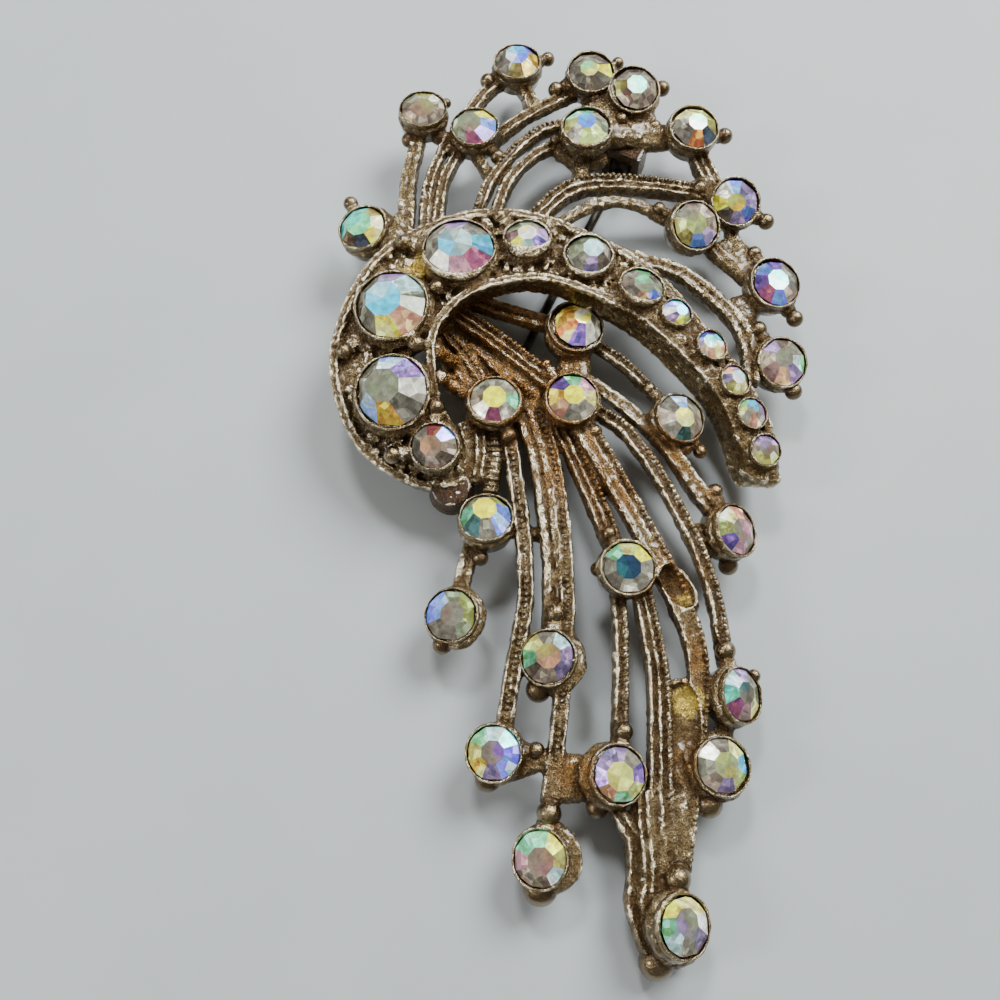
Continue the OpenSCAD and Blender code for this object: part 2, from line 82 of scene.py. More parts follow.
# half of the band's section: share of the rim's width inwards, mm below the edge
RIM_SHAPE = [(0.0, 0.42), (0.0, 0.14), (0.14, 0.0), (0.3, 0.04), (0.42, 0.36), (0.54, 0.36),
             (0.68, 0.04), (0.84, 0.0), (1.0, 0.14), (1.12, 0.45)]
# the slit through the floor: middle, length and width (mm), turn (degrees); then its
# corners, its lowest and highest point, and how far from its middle lumps may begin
SLIT = ((-13.8, 7.95), (2.2, 1.3), 65)
SLIT_SIDES = 16
SLIT_HEIGHTS = (0, 12)
SLIT_CLEAR = 1.7
# the lumps on the floor: how many, their places along and across the band (shares),
# radii (mm), depths (shares of the rim's height), and how flat they are
LUMPS = 760
LUMPS_ALONG = (0.06, 0.99)
LUMPS_ACROSS = (0.12, 0.88)
LUMP_RADII = (0.22, 0.5)
LUMP_DEPTHS = (0.4, 0.9)
LUMP_FLAT = 0.8
# from this share of the band on, the tip, the lumps stand nearly as high as the rims
TIP_FROM = 0.66
TIP_DEPTH = 0.12
FLOOR_DEPTH = 0.9
BAND_STEP = 0.5
# the rolled end of the tip and the rough round end: middle and radius of each lump (mm)
END_LUMPS = [((15.9, -1.9, 4.9), 0.8), ((16.8, -2.6, 4.2), 0.85), ((17.9, -2.7, 4.3), 0.75),
             ((18.4, -2.6, 4.5), 0.65), ((15.7, -1.6, 3.6), 0.8), ((17.2, -2.7, 5.2), 0.6),
             ((-12.2, -3.1, 5), 0.6), ((-11.4, -3.3, 5.1), 0.65), ((-10.6, -3.2, 5.1), 0.6),
             ((-9.9, -2.9, 5.2), 0.55), ((-11, -2.6, 5.6), 0.5), ((-10.2, -2.2, 5.8), 0.5),
             ((-11.9, -2.4, 5.8), 0.45)]


def unit(v):
    return v / np.linalg.norm(v, axis=-1, keepdims=True)


def turned(degrees):
    return math.cos(math.radians(degrees)), math.sin(math.radians(degrees))


def full_turn(count):
    return np.linspace(0, 2 * math.pi, count, endpoint=False)


# the parts that each span of a run is drawn in before it is cut into even steps
RUN_PARTS = 12


def course(points, step):
    """A smooth run through the points, cut into even steps."""
    p = np.array(points, float)
    run = []
    for i in range(len(p) - 1):
        a, b, c, d = p[max(i - 1, 0)], p[i], p[i + 1], p[min(i + 2, len(p) - 1)]
        for t in np.linspace(0, 1, RUN_PARTS, endpoint=False):
            run.append(0.5 * (2 * b + (c - a) * t + (2 * a - 5 * b + 4 * c - d) * t * t
                              + (3 * b - a - 3 * c + d) * t ** 3))
    run = np.array(run + [p[-1]])
    far = np.concatenate(([0], np.cumsum(np.linalg.norm(np.diff(run, axis=0), axis=1))))
    at = np.linspace(0, far[-1], max(3, round(far[-1] / step) + 1))
    return np.stack([np.interp(at, far, run[:, k]) for k in range(run.shape[1])], axis=1)


def directions(path):
    """Along the path, across it to the traveller's right, and up from it."""
    along = unit(np.gradient(path, axis=0))
    across = unit(np.cross(along, (0, 0, 1)))
    return along, across, np.cross(across, along)


def round_mesh(level):
    bm = bmesh.new()
    bmesh.ops.create_icosphere(bm, subdivisions=level, radius=1)
    points = np.array([v.co for v in bm.verts])
    faces = [[v.index for v in f.verts] for f in bm.faces]
    bm.free()
    return points, faces


BALLS_BY_LEVEL = {level: round_mesh(level) for level in (2, 3)}


class Skin:
    """Closed skins gathered in millimetres."""

    def __init__(self):
        self.points = []
        self.faces = []

    def add(self, points, faces):
        first = len(self.points)
        self.points += [tuple(p) for p in points]
        self.faces += [[first + k for k in face] for face in faces]

    def loft(self, rings):
        n, m = len(rings), len(rings[0])
        sides = [(i * m + j, i * m + (j + 1) % m, (i + 1) * m + (j + 1) % m, (i + 1) * m + j)
                 for i in range(n - 1) for j in range(m)]
        ends = [list(range(m))[::-1], list(range((n - 1) * m, n * m))]
        self.add([p for ring in rings for p in ring], sides + ends)

    def tube(self, path, half_w, half_h, side=0.0, lift=0.0, count=12):
        """A tube beside a path: its half width and height, and its place across and up."""
        n = len(path)
        along, across, up = directions(path)
        half_w, half_h, side, lift = (np.broadcast_to(v, n) for v in (half_w, half_h, side, lift))
        turn = full_turn(count)
        self.loft([
            path[i] + across[i] * side[i] + up[i] * lift[i]
            + np.outer(np.cos(turn) * half_w[i], across[i]) + np.outer(np.sin(turn) * half_h[i], up[i])
            for i in range(n)
        ])

    def ball(self, centre, radii, axes=np.eye(3), level=2):
        points, faces = BALLS_BY_LEVEL[level]
        self.add(np.array(centre) + (points * radii) @ np.array(axes), faces)

    def hull(self, centres, radius):
        bm = bmesh.new()
        for centre in centres:
            for q in BALLS_BY_LEVEL[2][0]:
                bm.verts.new(np.array(centre) + q * radius)
        found = bmesh.ops.convex_hull(bm, input=bm.verts)
        inside = list({g for g in found["geom_interior"] + found["geom_unused"]
                       if isinstance(g, bmesh.types.BMVert)})
        bmesh.ops.delete(bm, geom=inside, context="VERTS")
        bm.verts.index_update()
        self.add([v.co for v in bm.verts], [[v.index for v in f.verts] for f in bm.faces])
        bm.free()


def plain_object(name, points, faces):
    mesh = bpy.data.meshes.new(name)
    mesh.from_pydata(np.asarray(points).tolist(), [], faces)
    mesh.update()
    made = bpy.data.objects.new(name, mesh)
    bpy.context.scene.collection.objects.link(made)
    return made


def with_modifier(made, kind, **settings):
    """Applies one modifier and returns the new mesh's points and faces."""
    modifier = made.modifiers.new("shape", kind)
    for key, value in settings.items():
        setattr(modifier, key, value)
    done = made.evaluated_get(bpy.context.evaluated_depsgraph_get()).to_mesh()
    points = np.empty(len(done.vertices) * 3)
    done.vertices.foreach_get("co", points)
    faces = [list(f.vertices) for f in done.polygons]
    bpy.data.objects.remove(made)
    return points.reshape(-1, 3), faces


# the height of a stone's crown and of its pointed back, as shares of its width
CROWN_SHARE = 0.17
BACK_SHARE = 0.36


def setting(name):
    """A stone's place from its CAD solid: middle of its widest line, its axes, its width."""
    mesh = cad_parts[name].data
    points = np.array([v.co for v in mesh.vertices]) / MM
    areas = {}
    for f in mesh.polygons:
        key = tuple(round(c, 2) for c in f.normal)
        areas[key] = areas.get(key, 0) + f.area
    up = unit(np.array(max(areas, key=areas.get)))
    height = points @ up
    width = (height.max() - height.min()) / (CROWN_SHARE + BACK_SHARE)
    tip = points[height.argmin()]
    across = unit(np.array((1.0, 0, 0)) - up * up[0])
    return tip + up * width * BACK_SHARE, np.array((across, np.cross(up, across), up)), width


SETTINGS = {name: setting(name) for name in sorted(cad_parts) if "stone" in name}
LATTICE = 32


def noise_3d(points, scale, seed):
    """Smooth noise from -1 to 1 at each point."""
    lattice = np.random.default_rng(seed).uniform(-1, 1, (LATTICE,) * 3)
    q = points * scale
    base = np.floor(q).astype(int)
    t = q - base
    t = t * t * (3 - 2 * t)
    total = np.zeros(len(points))
    for corner in np.ndindex(2, 2, 2):
        share = np.prod(np.where(corner, t, 1 - t), axis=1)
        total += share * lattice[tuple(((base + corner) % LATTICE).T)]
    return total


def neighbours_mean(points, edges, values):
    total = np.zeros_like(values)
    count = np.zeros(len(points))
    for a, b in ((0, 1), (1, 0)):
        np.add.at(count, edges[:, a], 1)
        for k in range(values.shape[1]):
            total[:, k] += np.bincount(edges[:, a], values[edges[:, b], k], len(points))
    return total / np.maximum(count, 1)[:, None]


def edges_of(faces):
    pairs = np.concatenate([np.stack((f, np.roll(f, -1, axis=1)), axis=2).reshape(-1, 2)
                            for f in (np.array([g for g in faces if len(g) == n])
                                      for n in {len(g) for g in faces})])
    return np.unique(np.sort(pairs, axis=1), axis=0)


def normals_of(points, faces):
    mesh = bpy.data.meshes.new("normals")
    mesh.from_pydata(points.tolist(), [], faces)
    flat = np.empty(len(points) * 3)
    mesh.vertex_normals.foreach_get("vector", flat)
    bpy.data.meshes.remove(mesh)
    return flat.reshape(-1, 3)


# the room kept free for a stone (mm): beside it in its cup, further aside in the rough
# casting, under its point, under its widest line, and the free height over that line.
# Metal lower than SIDES_FROM moves down, the rest aside.
SEAT_GAP = 0.07
ROUGH_GAP = 0.05
POINT_GAP = 0.25
BED_GAP = 0.12
ROOM_H = 2.4
SIDES_FROM = 0.3


def clear_seats(points):
    """Keeps the metal out of the room of each stone: down below it, aside above it."""
    for centre, axes, width in SETTINGS.values():
        reach = width / 2 + SEAT_GAP + ROUGH_GAP
        local = (points - centre) @ axes.T
        far = np.maximum(np.hypot(local[:, 0], local[:, 1]), 0.01)
        floor = -(width * BACK_SHARE + POINT_GAP) * (1 - far / reach) - BED_GAP
        near = (far < reach) & (local[:, 2] > floor) & (local[:, 2] < ROOM_H)
        low = near & (local[:, 2] < SIDES_FROM)
        high = near & ~low
        local[low, 2] = floor[low]
        local[high, :2] *= (reach / far[high])[:, None]
        points[near] = local[near] @ axes + centre
    return points


# how far above a dish's middle the metal is pressed down (mm)
SCOOP_H = 2


def scoop(points, centre, radii, turn):
    """Presses a shallow dish into the metal from above."""
    c, s = turned(turn)
    away = points - np.array(centre)
    u = (away[:, 0] * c + away[:, 1] * s) / radii[0]
    v = (away[:, 1] * c - away[:, 0] * s) / radii[1]
    room = 1 - u * u - v * v
    low = centre[2] - radii[2] * np.sqrt(np.maximum(room, 0))
    hit = (room > 0) & (points[:, 2] > low) & (points[:, 2] < centre[2] + SCOOP_H)
    points[hit, 2] = low[hit]
    return points


# how much larger the small balls are than their tables say, and how deep the grain
# that is taken off them may go (mm)
KNOB_SHARE = 1.14
BALL_GRAIN = 0.2


def round_balls(points, balls):
    """Takes the grain off the small balls, so that they stay smooth and round."""
    for at, radius in balls:
        away = points - np.array(at)
        far = np.linalg.norm(away, axis=1)
        hit = np.abs(far - radius * KNOB_SHARE) < BALL_GRAIN
        points[hit] = at + away[hit] * (radius * KNOB_SHARE / far[hit])[:, None]
    return points


def without_specks(points, faces):
    """Leaves out the loose shells of a few faces that the fusing can make."""
    edges = edges_of(faces)
    group = np.arange(len(points))
    while True:
        low = group.copy()
        np.minimum.at(low, edges[:, 0], group[edges[:, 1]])
        np.minimum.at(low, edges[:, 1], group[edges[:, 0]])
        low = low[low]
        if (low == group).all():
            break
        group = low
    kept = np.bincount(group, minlength=len(points))[group] > SPECK
    place = (np.cumsum(kept) - 1).tolist()
    return points[kept], [[place[k] for k in face] for face in faces if kept[face[0]]]


# how often and how strongly a cast piece is softened
SOFTENINGS = 3
SOFTENING = 0.5
# the casting's grain: depth (mm), waves per mm
GRAIN = [(0.06, 0.9), (0.06, 2.3), (0.055, 4.4)]


def cast(skin, balls=(), scoops=(), grain_share=1.0):
    """Fuses closed skins into one lump with the soft corners and grain of a casting."""
    points, faces = without_specks(*with_modifier(
        plain_object("lump", skin.points, skin.faces), "REMESH", mode="VOXEL", voxel_size=VOXEL))
    edges = edges_of(faces)
    for _ in range(SOFTENINGS):
        points = points + SOFTENING * (neighbours_mean(points, edges, points) - points)
    for dish in scoops:
        points = scoop(points, *dish)
    grain = sum(depth * noise_3d(points, waves, seed)
                for seed, (depth, waves) in enumerate(GRAIN, 1)) * grain_share
    points = round_balls(points + normals_of(points, faces) * grain[:, None], balls)
    points = clear_seats(points)
    share = MOST_TRIANGLES / sum(len(face) - 2 for face in faces)
    if share < 1:
        points, faces = with_modifier(plain_object("lump", points, faces), "DECIMATE", ratio=share)
    return clear_seats(points), faces


metal_pieces = []


def metal_piece(name, points, faces):
    """A finished piece of the casting, in metres. Its material is given further on."""
    points = np.column_stack((points[:, :2], np.maximum(points[:, 2], 0)))
    made = plain_object(name, points * MM, faces)
    made.data.polygons.foreach_set("use_smooth", [True] * len(faces))
    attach(made, "root")
    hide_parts("casting")
    metal_pieces.append((made, points, faces))


def band_ring(a, b, inner_foot):
    """One closed section of the band between its outer and its inner edge."""
    inwards = unit(b - a)
    width = np.linalg.norm(b - a)
    rim, drop, wall = min(RIM_W, width / 4), min(RIM_H, width / 4), min(WALL_H, width)
    down = np.array((0, 0, -1.0))

    def at(edge, way, share, low):
        return edge + way * rim * share + down * low
    half = [
        [at(edge, way, share, low * drop / RIM_H) for share, low in RIM_SHAPE]
        + [at(edge, way, FLOOR_FROM, drop)] for edge, way in ((a, inwards), (b, -inwards))
    ]
    under = [
        [at(edge, way, foot * KNEE[0], wall * KNEE[1]), at(edge, way, foot, wall),
         at(edge, way, UNDER_FROM, drop + FLOOR_T)]
        for edge, way, foot in ((a, inwards, 1.0), (b, -inwards, inner_foot))
    ]
    return half[0] + half[1][::-1] + under[1] + under[0][::-1]


stations = course([outer + inner for outer, inner in STATIONS], BAND_STEP)
band = Skin()
band.loft([band_ring(row[:3], row[3:], np.interp(i / (len(stations) - 1), *INNER_FOOT))
           for i, row in enumerate(stations)])
band_body = plain_object("band", band.points, band.faces)
slit_at, slit_size, slit_angle = SLIT
c, s = turned(slit_angle)
slit_turn = full_turn(SLIT_SIDES)
slit_ring = np.column_stack((np.cos(slit_turn), np.sin(slit_turn))) * slit_size / 2
slit_ring = slit_ring @ np.array(((c, s), (-s, c))) + np.array(slit_at)
slit = Skin()
slit.loft([np.column_stack((slit_ring, np.full(SLIT_SIDES, z))) for z in SLIT_HEIGHTS])
slit_body = plain_object("slit", slit.points, slit.faces)
band_points, band_faces = with_modifier(band_body, "BOOLEAN", object=slit_body, operation="DIFFERENCE")
bpy.data.objects.remove(slit_body)

crescent = Skin()
crescent.add(band_points, band_faces)
for lump_at, radius in END_LUMPS:
    crescent.ball(lump_at, (radius,) * 3)
for _ in range(LUMPS):
    far = rng.uniform(*LUMPS_ALONG)
    row = stations[int(far * len(stations))]
    share = rng.uniform(*LUMPS_ACROSS)
    lump_at = row[:3] * (1 - share) + row[3:] * share
    radius = rng.uniform(*LUMP_RADII)
    lump_at[2] -= RIM_H * rng.uniform(*LUMP_DEPTHS) * (TIP_DEPTH if far > TIP_FROM else FLOOR_DEPTH)
    if math.dist(lump_at[:2], slit_at) > SLIT_CLEAR + radius:
        crescent.ball(lump_at, (radius, radius, radius * LUMP_FLAT))

# The cups: one short drum of the same casting for each stone, rough outside and painted
# dark there with the shade under its lip, with a worn bright lip pressed over the stone's
# edge. Some cups are wider than their stone, which then leans to one side and leaves a
# dark gap at the other.

LIP_W = 0.18
# a stone narrower than this has a lip this much thinner
SMALL_STONE = 3
SMALL_LIP = 0.75
# how much deeper a cup is than its stone's back (mm)
CUP_BED = 0.55


def by_stone(**families):
    """Rows by stone's name, from each family's rows in order."""
    return {f"{family}_stone_{k}": row for family, rows in families.items()
            for k, row in enumerate(rows, 1) if row}


# how each lip stands: its middle from its stone's (mm to the right, up), its width
LIP_PLACES = by_stone(
    crescent=[(0, 0.05, 0.16), (-0.06, -0.06, 0.18), (0, -0.08, 0.2), (0, -0.06, 0.16), (0, -0.02, 0.18),
              (-0.12, -0.04, 0.18), None, None, (0, 0, 0.16), (0, 0, 0.15)],
    upper=[(0.08, 0, 0.17), (0.02, -0.03, 0.13), (0, -0.03, 0.15), (0.03, 0, 0.14), (0.03, 0.04, 0.17),
           (-0.2, -0.1, 0.16), (0.06, 0.08, 0.22), (-0.14, 0, 0.16), (0.06, 0.04, 0.19),
           (-0.05, -0.06, 0.18), (-0.14, 0.02, 0.16), (0.02, -0.02, 0.17)],
    lower=[(-0.24, -0.16, 0.16), (0, -0.03, 0.21), (-0.04, 0.03, 0.21), (0, 0, 0.16), (0.05, 0, 0.18),
           (0.06, 0, 0.14), (-0.05, 0, 0.17), (-0.05, -0.03, 0.18), (0.06, -0.04, 0.15),
           (-0.02, 0, 0.14), (-0.12, 0, 0.18), (0, -0.05, 0.15), (0.03, -0.1, 0.16),
           (0.02, 0, 0.17), (-0.14, 0.04, 0.2)])
# cups whose drum, painted dark with shade, stands out under the lip: to the right, up, all round (mm)
FLARES = {
    "lower_stone_14": (0.3, 0.02, 0.48), "lower_stone_9": (0.3, -0.1, 0.36),
    "lower_stone_6": (0.15, -0.05, 0.34), "lower_stone_13": (0.1, 0, 0.36),
    "lower_stone_11": (-0.15, 0, 0.3), "upper_stone_1": (0.2, 0, 0.25),
    "crescent_stone_2": (0.1, -0.15, 0.3), "crescent_stone_3": (-0.1, -0.2, 0.3),
    "crescent_stone_1": (0, 0, 0.25),
}
FLARE = 0.16
# how far some lips are pressed over their stone's upper and lower edge (mm)
PRESSED = {
    "crescent_stone_1": (0.35, 0.25), "crescent_stone_2": (0.1, 0.1), "crescent_stone_4": (0.1, 0.1),
    "crescent_stone_5": (0.45, 0.45), "crescent_stone_6": (0.4, 0.15), "crescent_stone_7": (0.25, 0.15),
    "crescent_stone_8": (0.1, 0.1), "upper_stone_1": (0.1, 0.05), "lower_stone_2": (0.05, 0.15),
}
# from the outside over the top and down the inside: share of the lip's width, height
LIP_SHAPE = [(0.72, -0.75), (0.86, -0.45), (1.0, -0.22), (1.06, -0.04), (0.98, 0.1), (0.8, 0.2),
             (0.5, 0.26), (0.15, 0.27), (-0.25, 0.24), (-0.3, 0.17), (0.0, 0.04), (0.0, -0.15)]
# how uneven a lip is, in broad and in fine waves: how close they are, share of the lip's
# width, height (mm). Its inner part, up to these shares of its width, stays even, and
# so does its height below LOW_LIP (mm).
LIP_WAVES = (1.4, 5.5)
LIP_UNEVEN = (0.45, 0.3)
LIP_WAVY = (0.07, 0.05)
UNEVEN_FROM = 0.3
WAVY_FROM = 0.1
LOW_LIP = -0.1
# how narrow the pressed places are, how much a lip rises where it is pressed, from which
# height (mm) and up to which share of its width it bends
PRESS_NARROW = 1.5
PRESS_RISE = 0.8
PRESS_FROM, PRESS_STEEP = 0.04, 4
PRESS_TO = 1.3
# the cup under its lip: its foot's share of the lip's width, its floor's thickness
# (mm), then its inside in shares of its radius and of its depth
CUP_FOOT = 0.2
CUP_FLOOR_T = 0.1
CUP_INSIDE = [(0.62, 0.5), (0.08, 0.85)]
CUP_SIDES = 72
# the drum round it: how close its broad and its fine waves are, how deep (shares of its
# radius), and how far it reaches under the lip (share of the lip's width)
DRUM_WAVES = (1.2, 4)
DRUM_UNEVEN = (0.05, 0.03)
DRUM_REACH = 0.95
DRUM_SIDES = 40
# its rings from the foot up: share of its radius, of its flare and of its depth, then
# the height of the two at its top (mm)
DRUM_FOOT = [(0.66, 0, 1), (0.88, 0.5, 0.75), (1.0, 1, 0.5)]
DRUM_TOP = [(1.0, 1, -0.65), (0.97, 0.2, -0.3)]


def own_seed(name):
    """A number for the uneven parts of this cup, another for most cups."""
    return sum(map(ord, name)) % 50


def around(turn, scale, seed):
    """Uneven values around a circle, from -1 to 1."""
    circle = np.stack((np.cos(turn), np.sin(turn), 0 * turn), axis=1)
    return noise_3d(circle * scale + seed * 1.7, 1.0, 17 + seed)


def cup_place(name):
    """The middle of a cup, its axes, its inner radius, its lip's width and its depth."""
    centre, axes, width = SETTINGS[name]
    right, up, lip_w = LIP_PLACES.get(name, (0, 0, LIP_W * (SMALL_LIP if width < SMALL_STONE else 1)))
    middle = centre + axes[0] * right + axes[1] * up
    inner = width / 2 + SEAT_GAP + math.hypot(right, up)
    return middle, axes, inner, lip_w, width * BACK_SHARE + CUP_BED


def ring_of(middle, axes, turn, reach, height):
    return (middle + np.outer(np.cos(turn) * reach, axes[0])
            + np.outer(np.sin(turn) * reach, axes[1]) + np.outer(height + 0 * turn, axes[2]))


def cup(name):
    """The lip with the smooth inside of its cup."""
    middle, axes, inner, lip_w, depth = cup_place(name)
    turn = full_turn(CUP_SIDES)
    seed = own_seed(name)
    broad, fine = around(turn, LIP_WAVES[0], seed), around(turn, LIP_WAVES[1], seed + 1)
    over, under = PRESSED.get(name, (0, 0))
    press = (np.maximum(np.sin(turn), 0) ** PRESS_NARROW * over
             + np.maximum(-np.sin(turn), 0) ** PRESS_NARROW * under)
    uneven = 1 + LIP_UNEVEN[0] * broad + LIP_UNEVEN[1] * fine
    wavy = LIP_WAVY[0] * broad + LIP_WAVY[1] * fine
    rings = [ring_of(middle, axes, turn, inner + lip_w * CUP_FOOT, -depth)]
    for share, height in LIP_SHAPE:
        out = lip_w * share * (uneven if share > UNEVEN_FROM else 1)
        top = height + (wavy if height > LOW_LIP and share > WAVY_FROM else 0)
        bent = (press * np.clip((height + PRESS_FROM) * PRESS_STEEP, 0, 1)
                * np.clip(PRESS_TO - share, 0, 1))
        rings.append(ring_of(middle, axes, turn, inner + out - bent, top + bent * PRESS_RISE))
    for share, drop in CUP_INSIDE:
        rings.append(ring_of(middle, axes, turn, inner * share, -(depth - CUP_FLOOR_T) * drop))
    return rings


def cups_of(family):
    skin = Skin()
    for stone in SETTINGS:
        if stone.startswith(family):
            skin.loft(cup(stone))
    metal_piece(family + "_cups", np.array(skin.points), skin.faces)


def cup_root(skin, name):
    """The cup's rough drum as part of the casting, so that its neighbours melt into it."""
    middle, axes, inner, lip_w, depth = cup_place(name)
    turn = full_turn(DRUM_SIDES)
    seed = own_seed(name)
    right, up, flare = FLARES.get(name, (0, 0, FLARE))
    broad, fine = around(turn, DRUM_WAVES[0], seed + 2), around(turn, DRUM_WAVES[1], seed + 3)
    uneven = 1 + DRUM_UNEVEN[0] * broad + DRUM_UNEVEN[1] * fine
    rows = [(share, out, -depth * deep) for share, out, deep in DRUM_FOOT] + DRUM_TOP
    skin.loft([
        ring_of(middle + (axes[0] * right + axes[1] * up) * out, axes, turn,
                (inner + lip_w * DRUM_REACH + flare * out) * uneven * share, height)
        for share, out, height in rows
    ])


for stone in SETTINGS:
    if stone.startswith("crescent"):
        cup_root(crescent, stone)

# The sprigs: stems of two or three strands each, some of them a row of small beads
# or a twisted rope, cast in one with the crescent and run together in webs.

# each stem's strands from the traveller's left to right, root to tip: s is a smooth
# strand, b a row of beads, r a twisted rope, c a pile of rings; then its width at the
# root and at the tip, and the points of its run (mm)
UPPER_STEMS = [
    ("ss", 1.8, 1.6, [(-15.5, 20, 6.4), (-15.5, 28.5, 5.5), (-14.5, 35, 4.6)]),
    ("ss", 1.3, 1.2, [(-13.75, 20.5, 6.6), (-13.5, 27.5, 5.8), (-11.75, 33.5, 5)]),
    ("ss", 1.3, 1.3, [(-12.5, 21, 6.8), (-12, 28, 5.8), (-9.75, 33, 5)]),
    ("s", 1.2, 1.2, [(-9.25, 32, 5), (-7.5, 28.5, 5.9)]),
    ("bs", 1.3, 1.3, [(-9.25, 21.25, 6.8), (-7.25, 28, 6.2), (-2.5, 34, 5.4), (1.5, 35, 5.2)]),
    ("ss", 1.4, 1.3, [(-7.5, 21.25, 6.8), (-5.5, 28, 6), (-1.5, 32.25, 5.2), (2, 32.5, 5)]),
    ("ss", 1.6, 1.4, [(-7.25, 33, 5.2), (-4.5, 35.75, 5), (-1.25, 38, 4.8), (2.5, 40, 4.5)]),
    ("ss", 1.5, 1.5, [(-10, 36, 4.8), (-7.75, 39.75, 4.6), (-5, 41.75, 4.2)]),
    ("ss", 1.7, 1.7, [(-3, 37, 4.8), (-3.75, 39.5, 4.5), (-4.75, 41.75, 4.2)]),
    ("bss", 2.1, 1.8, [(-4.5, 21.25, 6.8), (0.25, 26.5, 6.1), (5.25, 27.75, 5.6), (13.5, 27.25, 4.7)]),
    ("s", 1.4, 1.3, [(-3, 21.25, 6.4), (2.25, 25, 5.8), (6.5, 25.5, 5.6), (11.5, 23, 5)]),
    ("sss", 2, 2, [(13.25, 33, 4.4), (14, 30.25, 4.4), (15.5, 26.5, 4.2)]),
    ("ss", 1.4, 1.4, [(16.25, 25, 4), (16.5, 22.25, 4), (18.75, 18.5, 4)]),
    ("ss", 1.5, 1.5, [(13, 22, 4.8), (15.75, 19.75, 4.2), (18.5, 17, 4)]),
    ("ss", 1.6, 1.8, [(2.5, 19.5, 6.6), (9.25, 18.25, 5.8), (13, 16, 5.2), (16, 12.75, 4.8),
                      (17, 9, 4.6), (16.75, 6.5, 5)]),
]
# the webs between stems: thickness, then the points that each spans (mm)
UPPER_WEBS = [
    (1.8, [(-19, 21.5, 5), (-16.5, 20, 6.5), (-16.25, 23, 6)]),
    (1.4, [(-13.5, 34.5, 4.8), (-10.5, 33, 5)]),
    (2.2, [(3, 39, 4.6), (7.5, 37.5, 4.4), (4.25, 34, 4.8), (7.5, 34.25, 4.2)]),
    (1.6, [(-0.25, 32, 4.8), (3.5, 31.5, 4.6), (1.75, 30.5, 4.6)]),
    (1.6, [(1.75, 31, 4.8), (1.25, 27.25, 5.4)]),
    (1.8, [(7.5, 35.5, 4.4), (7.5, 33.75, 4), (12, 34, 4.4)]),
    (1.5, [(13, 28, 4.6), (14.5, 29, 4.4), (14, 26.5, 4.6)]),
    (1.5, [(16.25, 22, 4), (18.5, 20, 4), (17.5, 18, 4), (14.5, 21, 4.2)]),
    (1.6, [(18.75, 16, 4.2), (16.25, 15, 4.4), (16.5, 12.75, 4.4)]),
    (1.4, [(17, 9, 4.6), (19, 8.5, 4)]),
]
# the small balls beside the cups: middle, radius (mm)
UPPER_KNOBS = [
    ((-21.25, 26, 5), 0.65), ((-15.75, 33.5, 5), 0.65), ((-12, 34, 4.8), 0.52), ((-12, 38, 5), 0.45),
    ((-11.5, 32, 5.5), 0.65), ((-6.75, 30.75, 6), 0.65), ((-1.5, 44, 4.5), 0.65),
    ((-7.75, 40.75, 5), 0.72), ((5.75, 43, 5), 0.58), ((-0.75, 39.5, 5.2), 0.72),
    ((3.25, 38.25, 5.5), 0.52), ((10.25, 40, 4.8), 0.72), ((5.75, 35.5, 5.6), 0.65),
    ((-1, 32.75, 6), 0.45), ((16.25, 34, 5), 0.72), ((9.25, 35.25, 4.8), 0.65),
    ((19.75, 24.25, 4.6), 0.72), ((13.25, 27.5, 5.4), 0.72), ((9, 24.75, 6), 0.58),
    ((21.75, 13.75, 4.2), 0.72), ((18.25, 20.5, 4.8), 0.65), ((21, 6.25, 4), 0.72),
    ((18, 12.25, 4.8), 0.72),
]
# a bead's half length along its strand, half width and height, pitch, tilt (mm, degrees)
BEAD_KINDS = {"b": (0.22, 0.24, 0.21, 0.54, 0), "r": (0.15, 0.36, 0.2, 0.5, 38),
              "c": (0.2, 0.75, 0.3, 0.55, 0)}
# how high a bead lies: share of its strand's height, less a share of its own; then how
# beads differ in size, and how deep they sink (mm)
BEAD_BED = (0.95, 0.25)
BEAD_SIZES = (0.8, 1.12)
BEAD_DROPS = (-0.03, 0.05)
# a strand's height as a share of its stem's width, and that of a stem no wider than THIN_STEM
STRAND_H = 0.46
THIN_STRAND_H = 0.55
THIN_STEM = 1.3
# the flat core under the strands: shares of their width and height
CORE = (0.44, 0.55)
# how far the strands spread over their stem's width, how much of its own part of it a
# strand fills, and how much narrower one is that carries beads
SPREAD = 1.02
STRAND_FILL = 0.98
BEADED = 0.9
# how far a stem sways (mm) and how much a strand swells, with their waves per mm
SWAY, SWAY_WAVES = 0.08, 0.35
SWELL, SWELL_WAVES = 0.16, 0.55
STEM_STEP = 0.3
# the worn wires on top of a smooth strand: their radius (mm), sides, height on it and
# how far they lie lower at its edges (shares of its height), then their places across a
# strand whose half width is over BROAD_HALF, and across a narrower one
WIRE = 0.15
WIRE_SIDES = 8
WIRE_LIFT = 0.98
WIRE_FALL = 0.3
BROAD_HALF = 0.4
BROAD_WIRES = (-0.42, 0.36)
NARROW_WIRES = (0.05,)
# the share of its listed thickness that a web has, and how a ball's neck runs: how far
# under its stone it ends (mm), how much of the cup's width it leaves free, its thickness
WEB_SHARE = 0.58
NECK = (1.1, 0.35, 0.88)
bead_rows = {"upper": Skin(), "lower": Skin()}


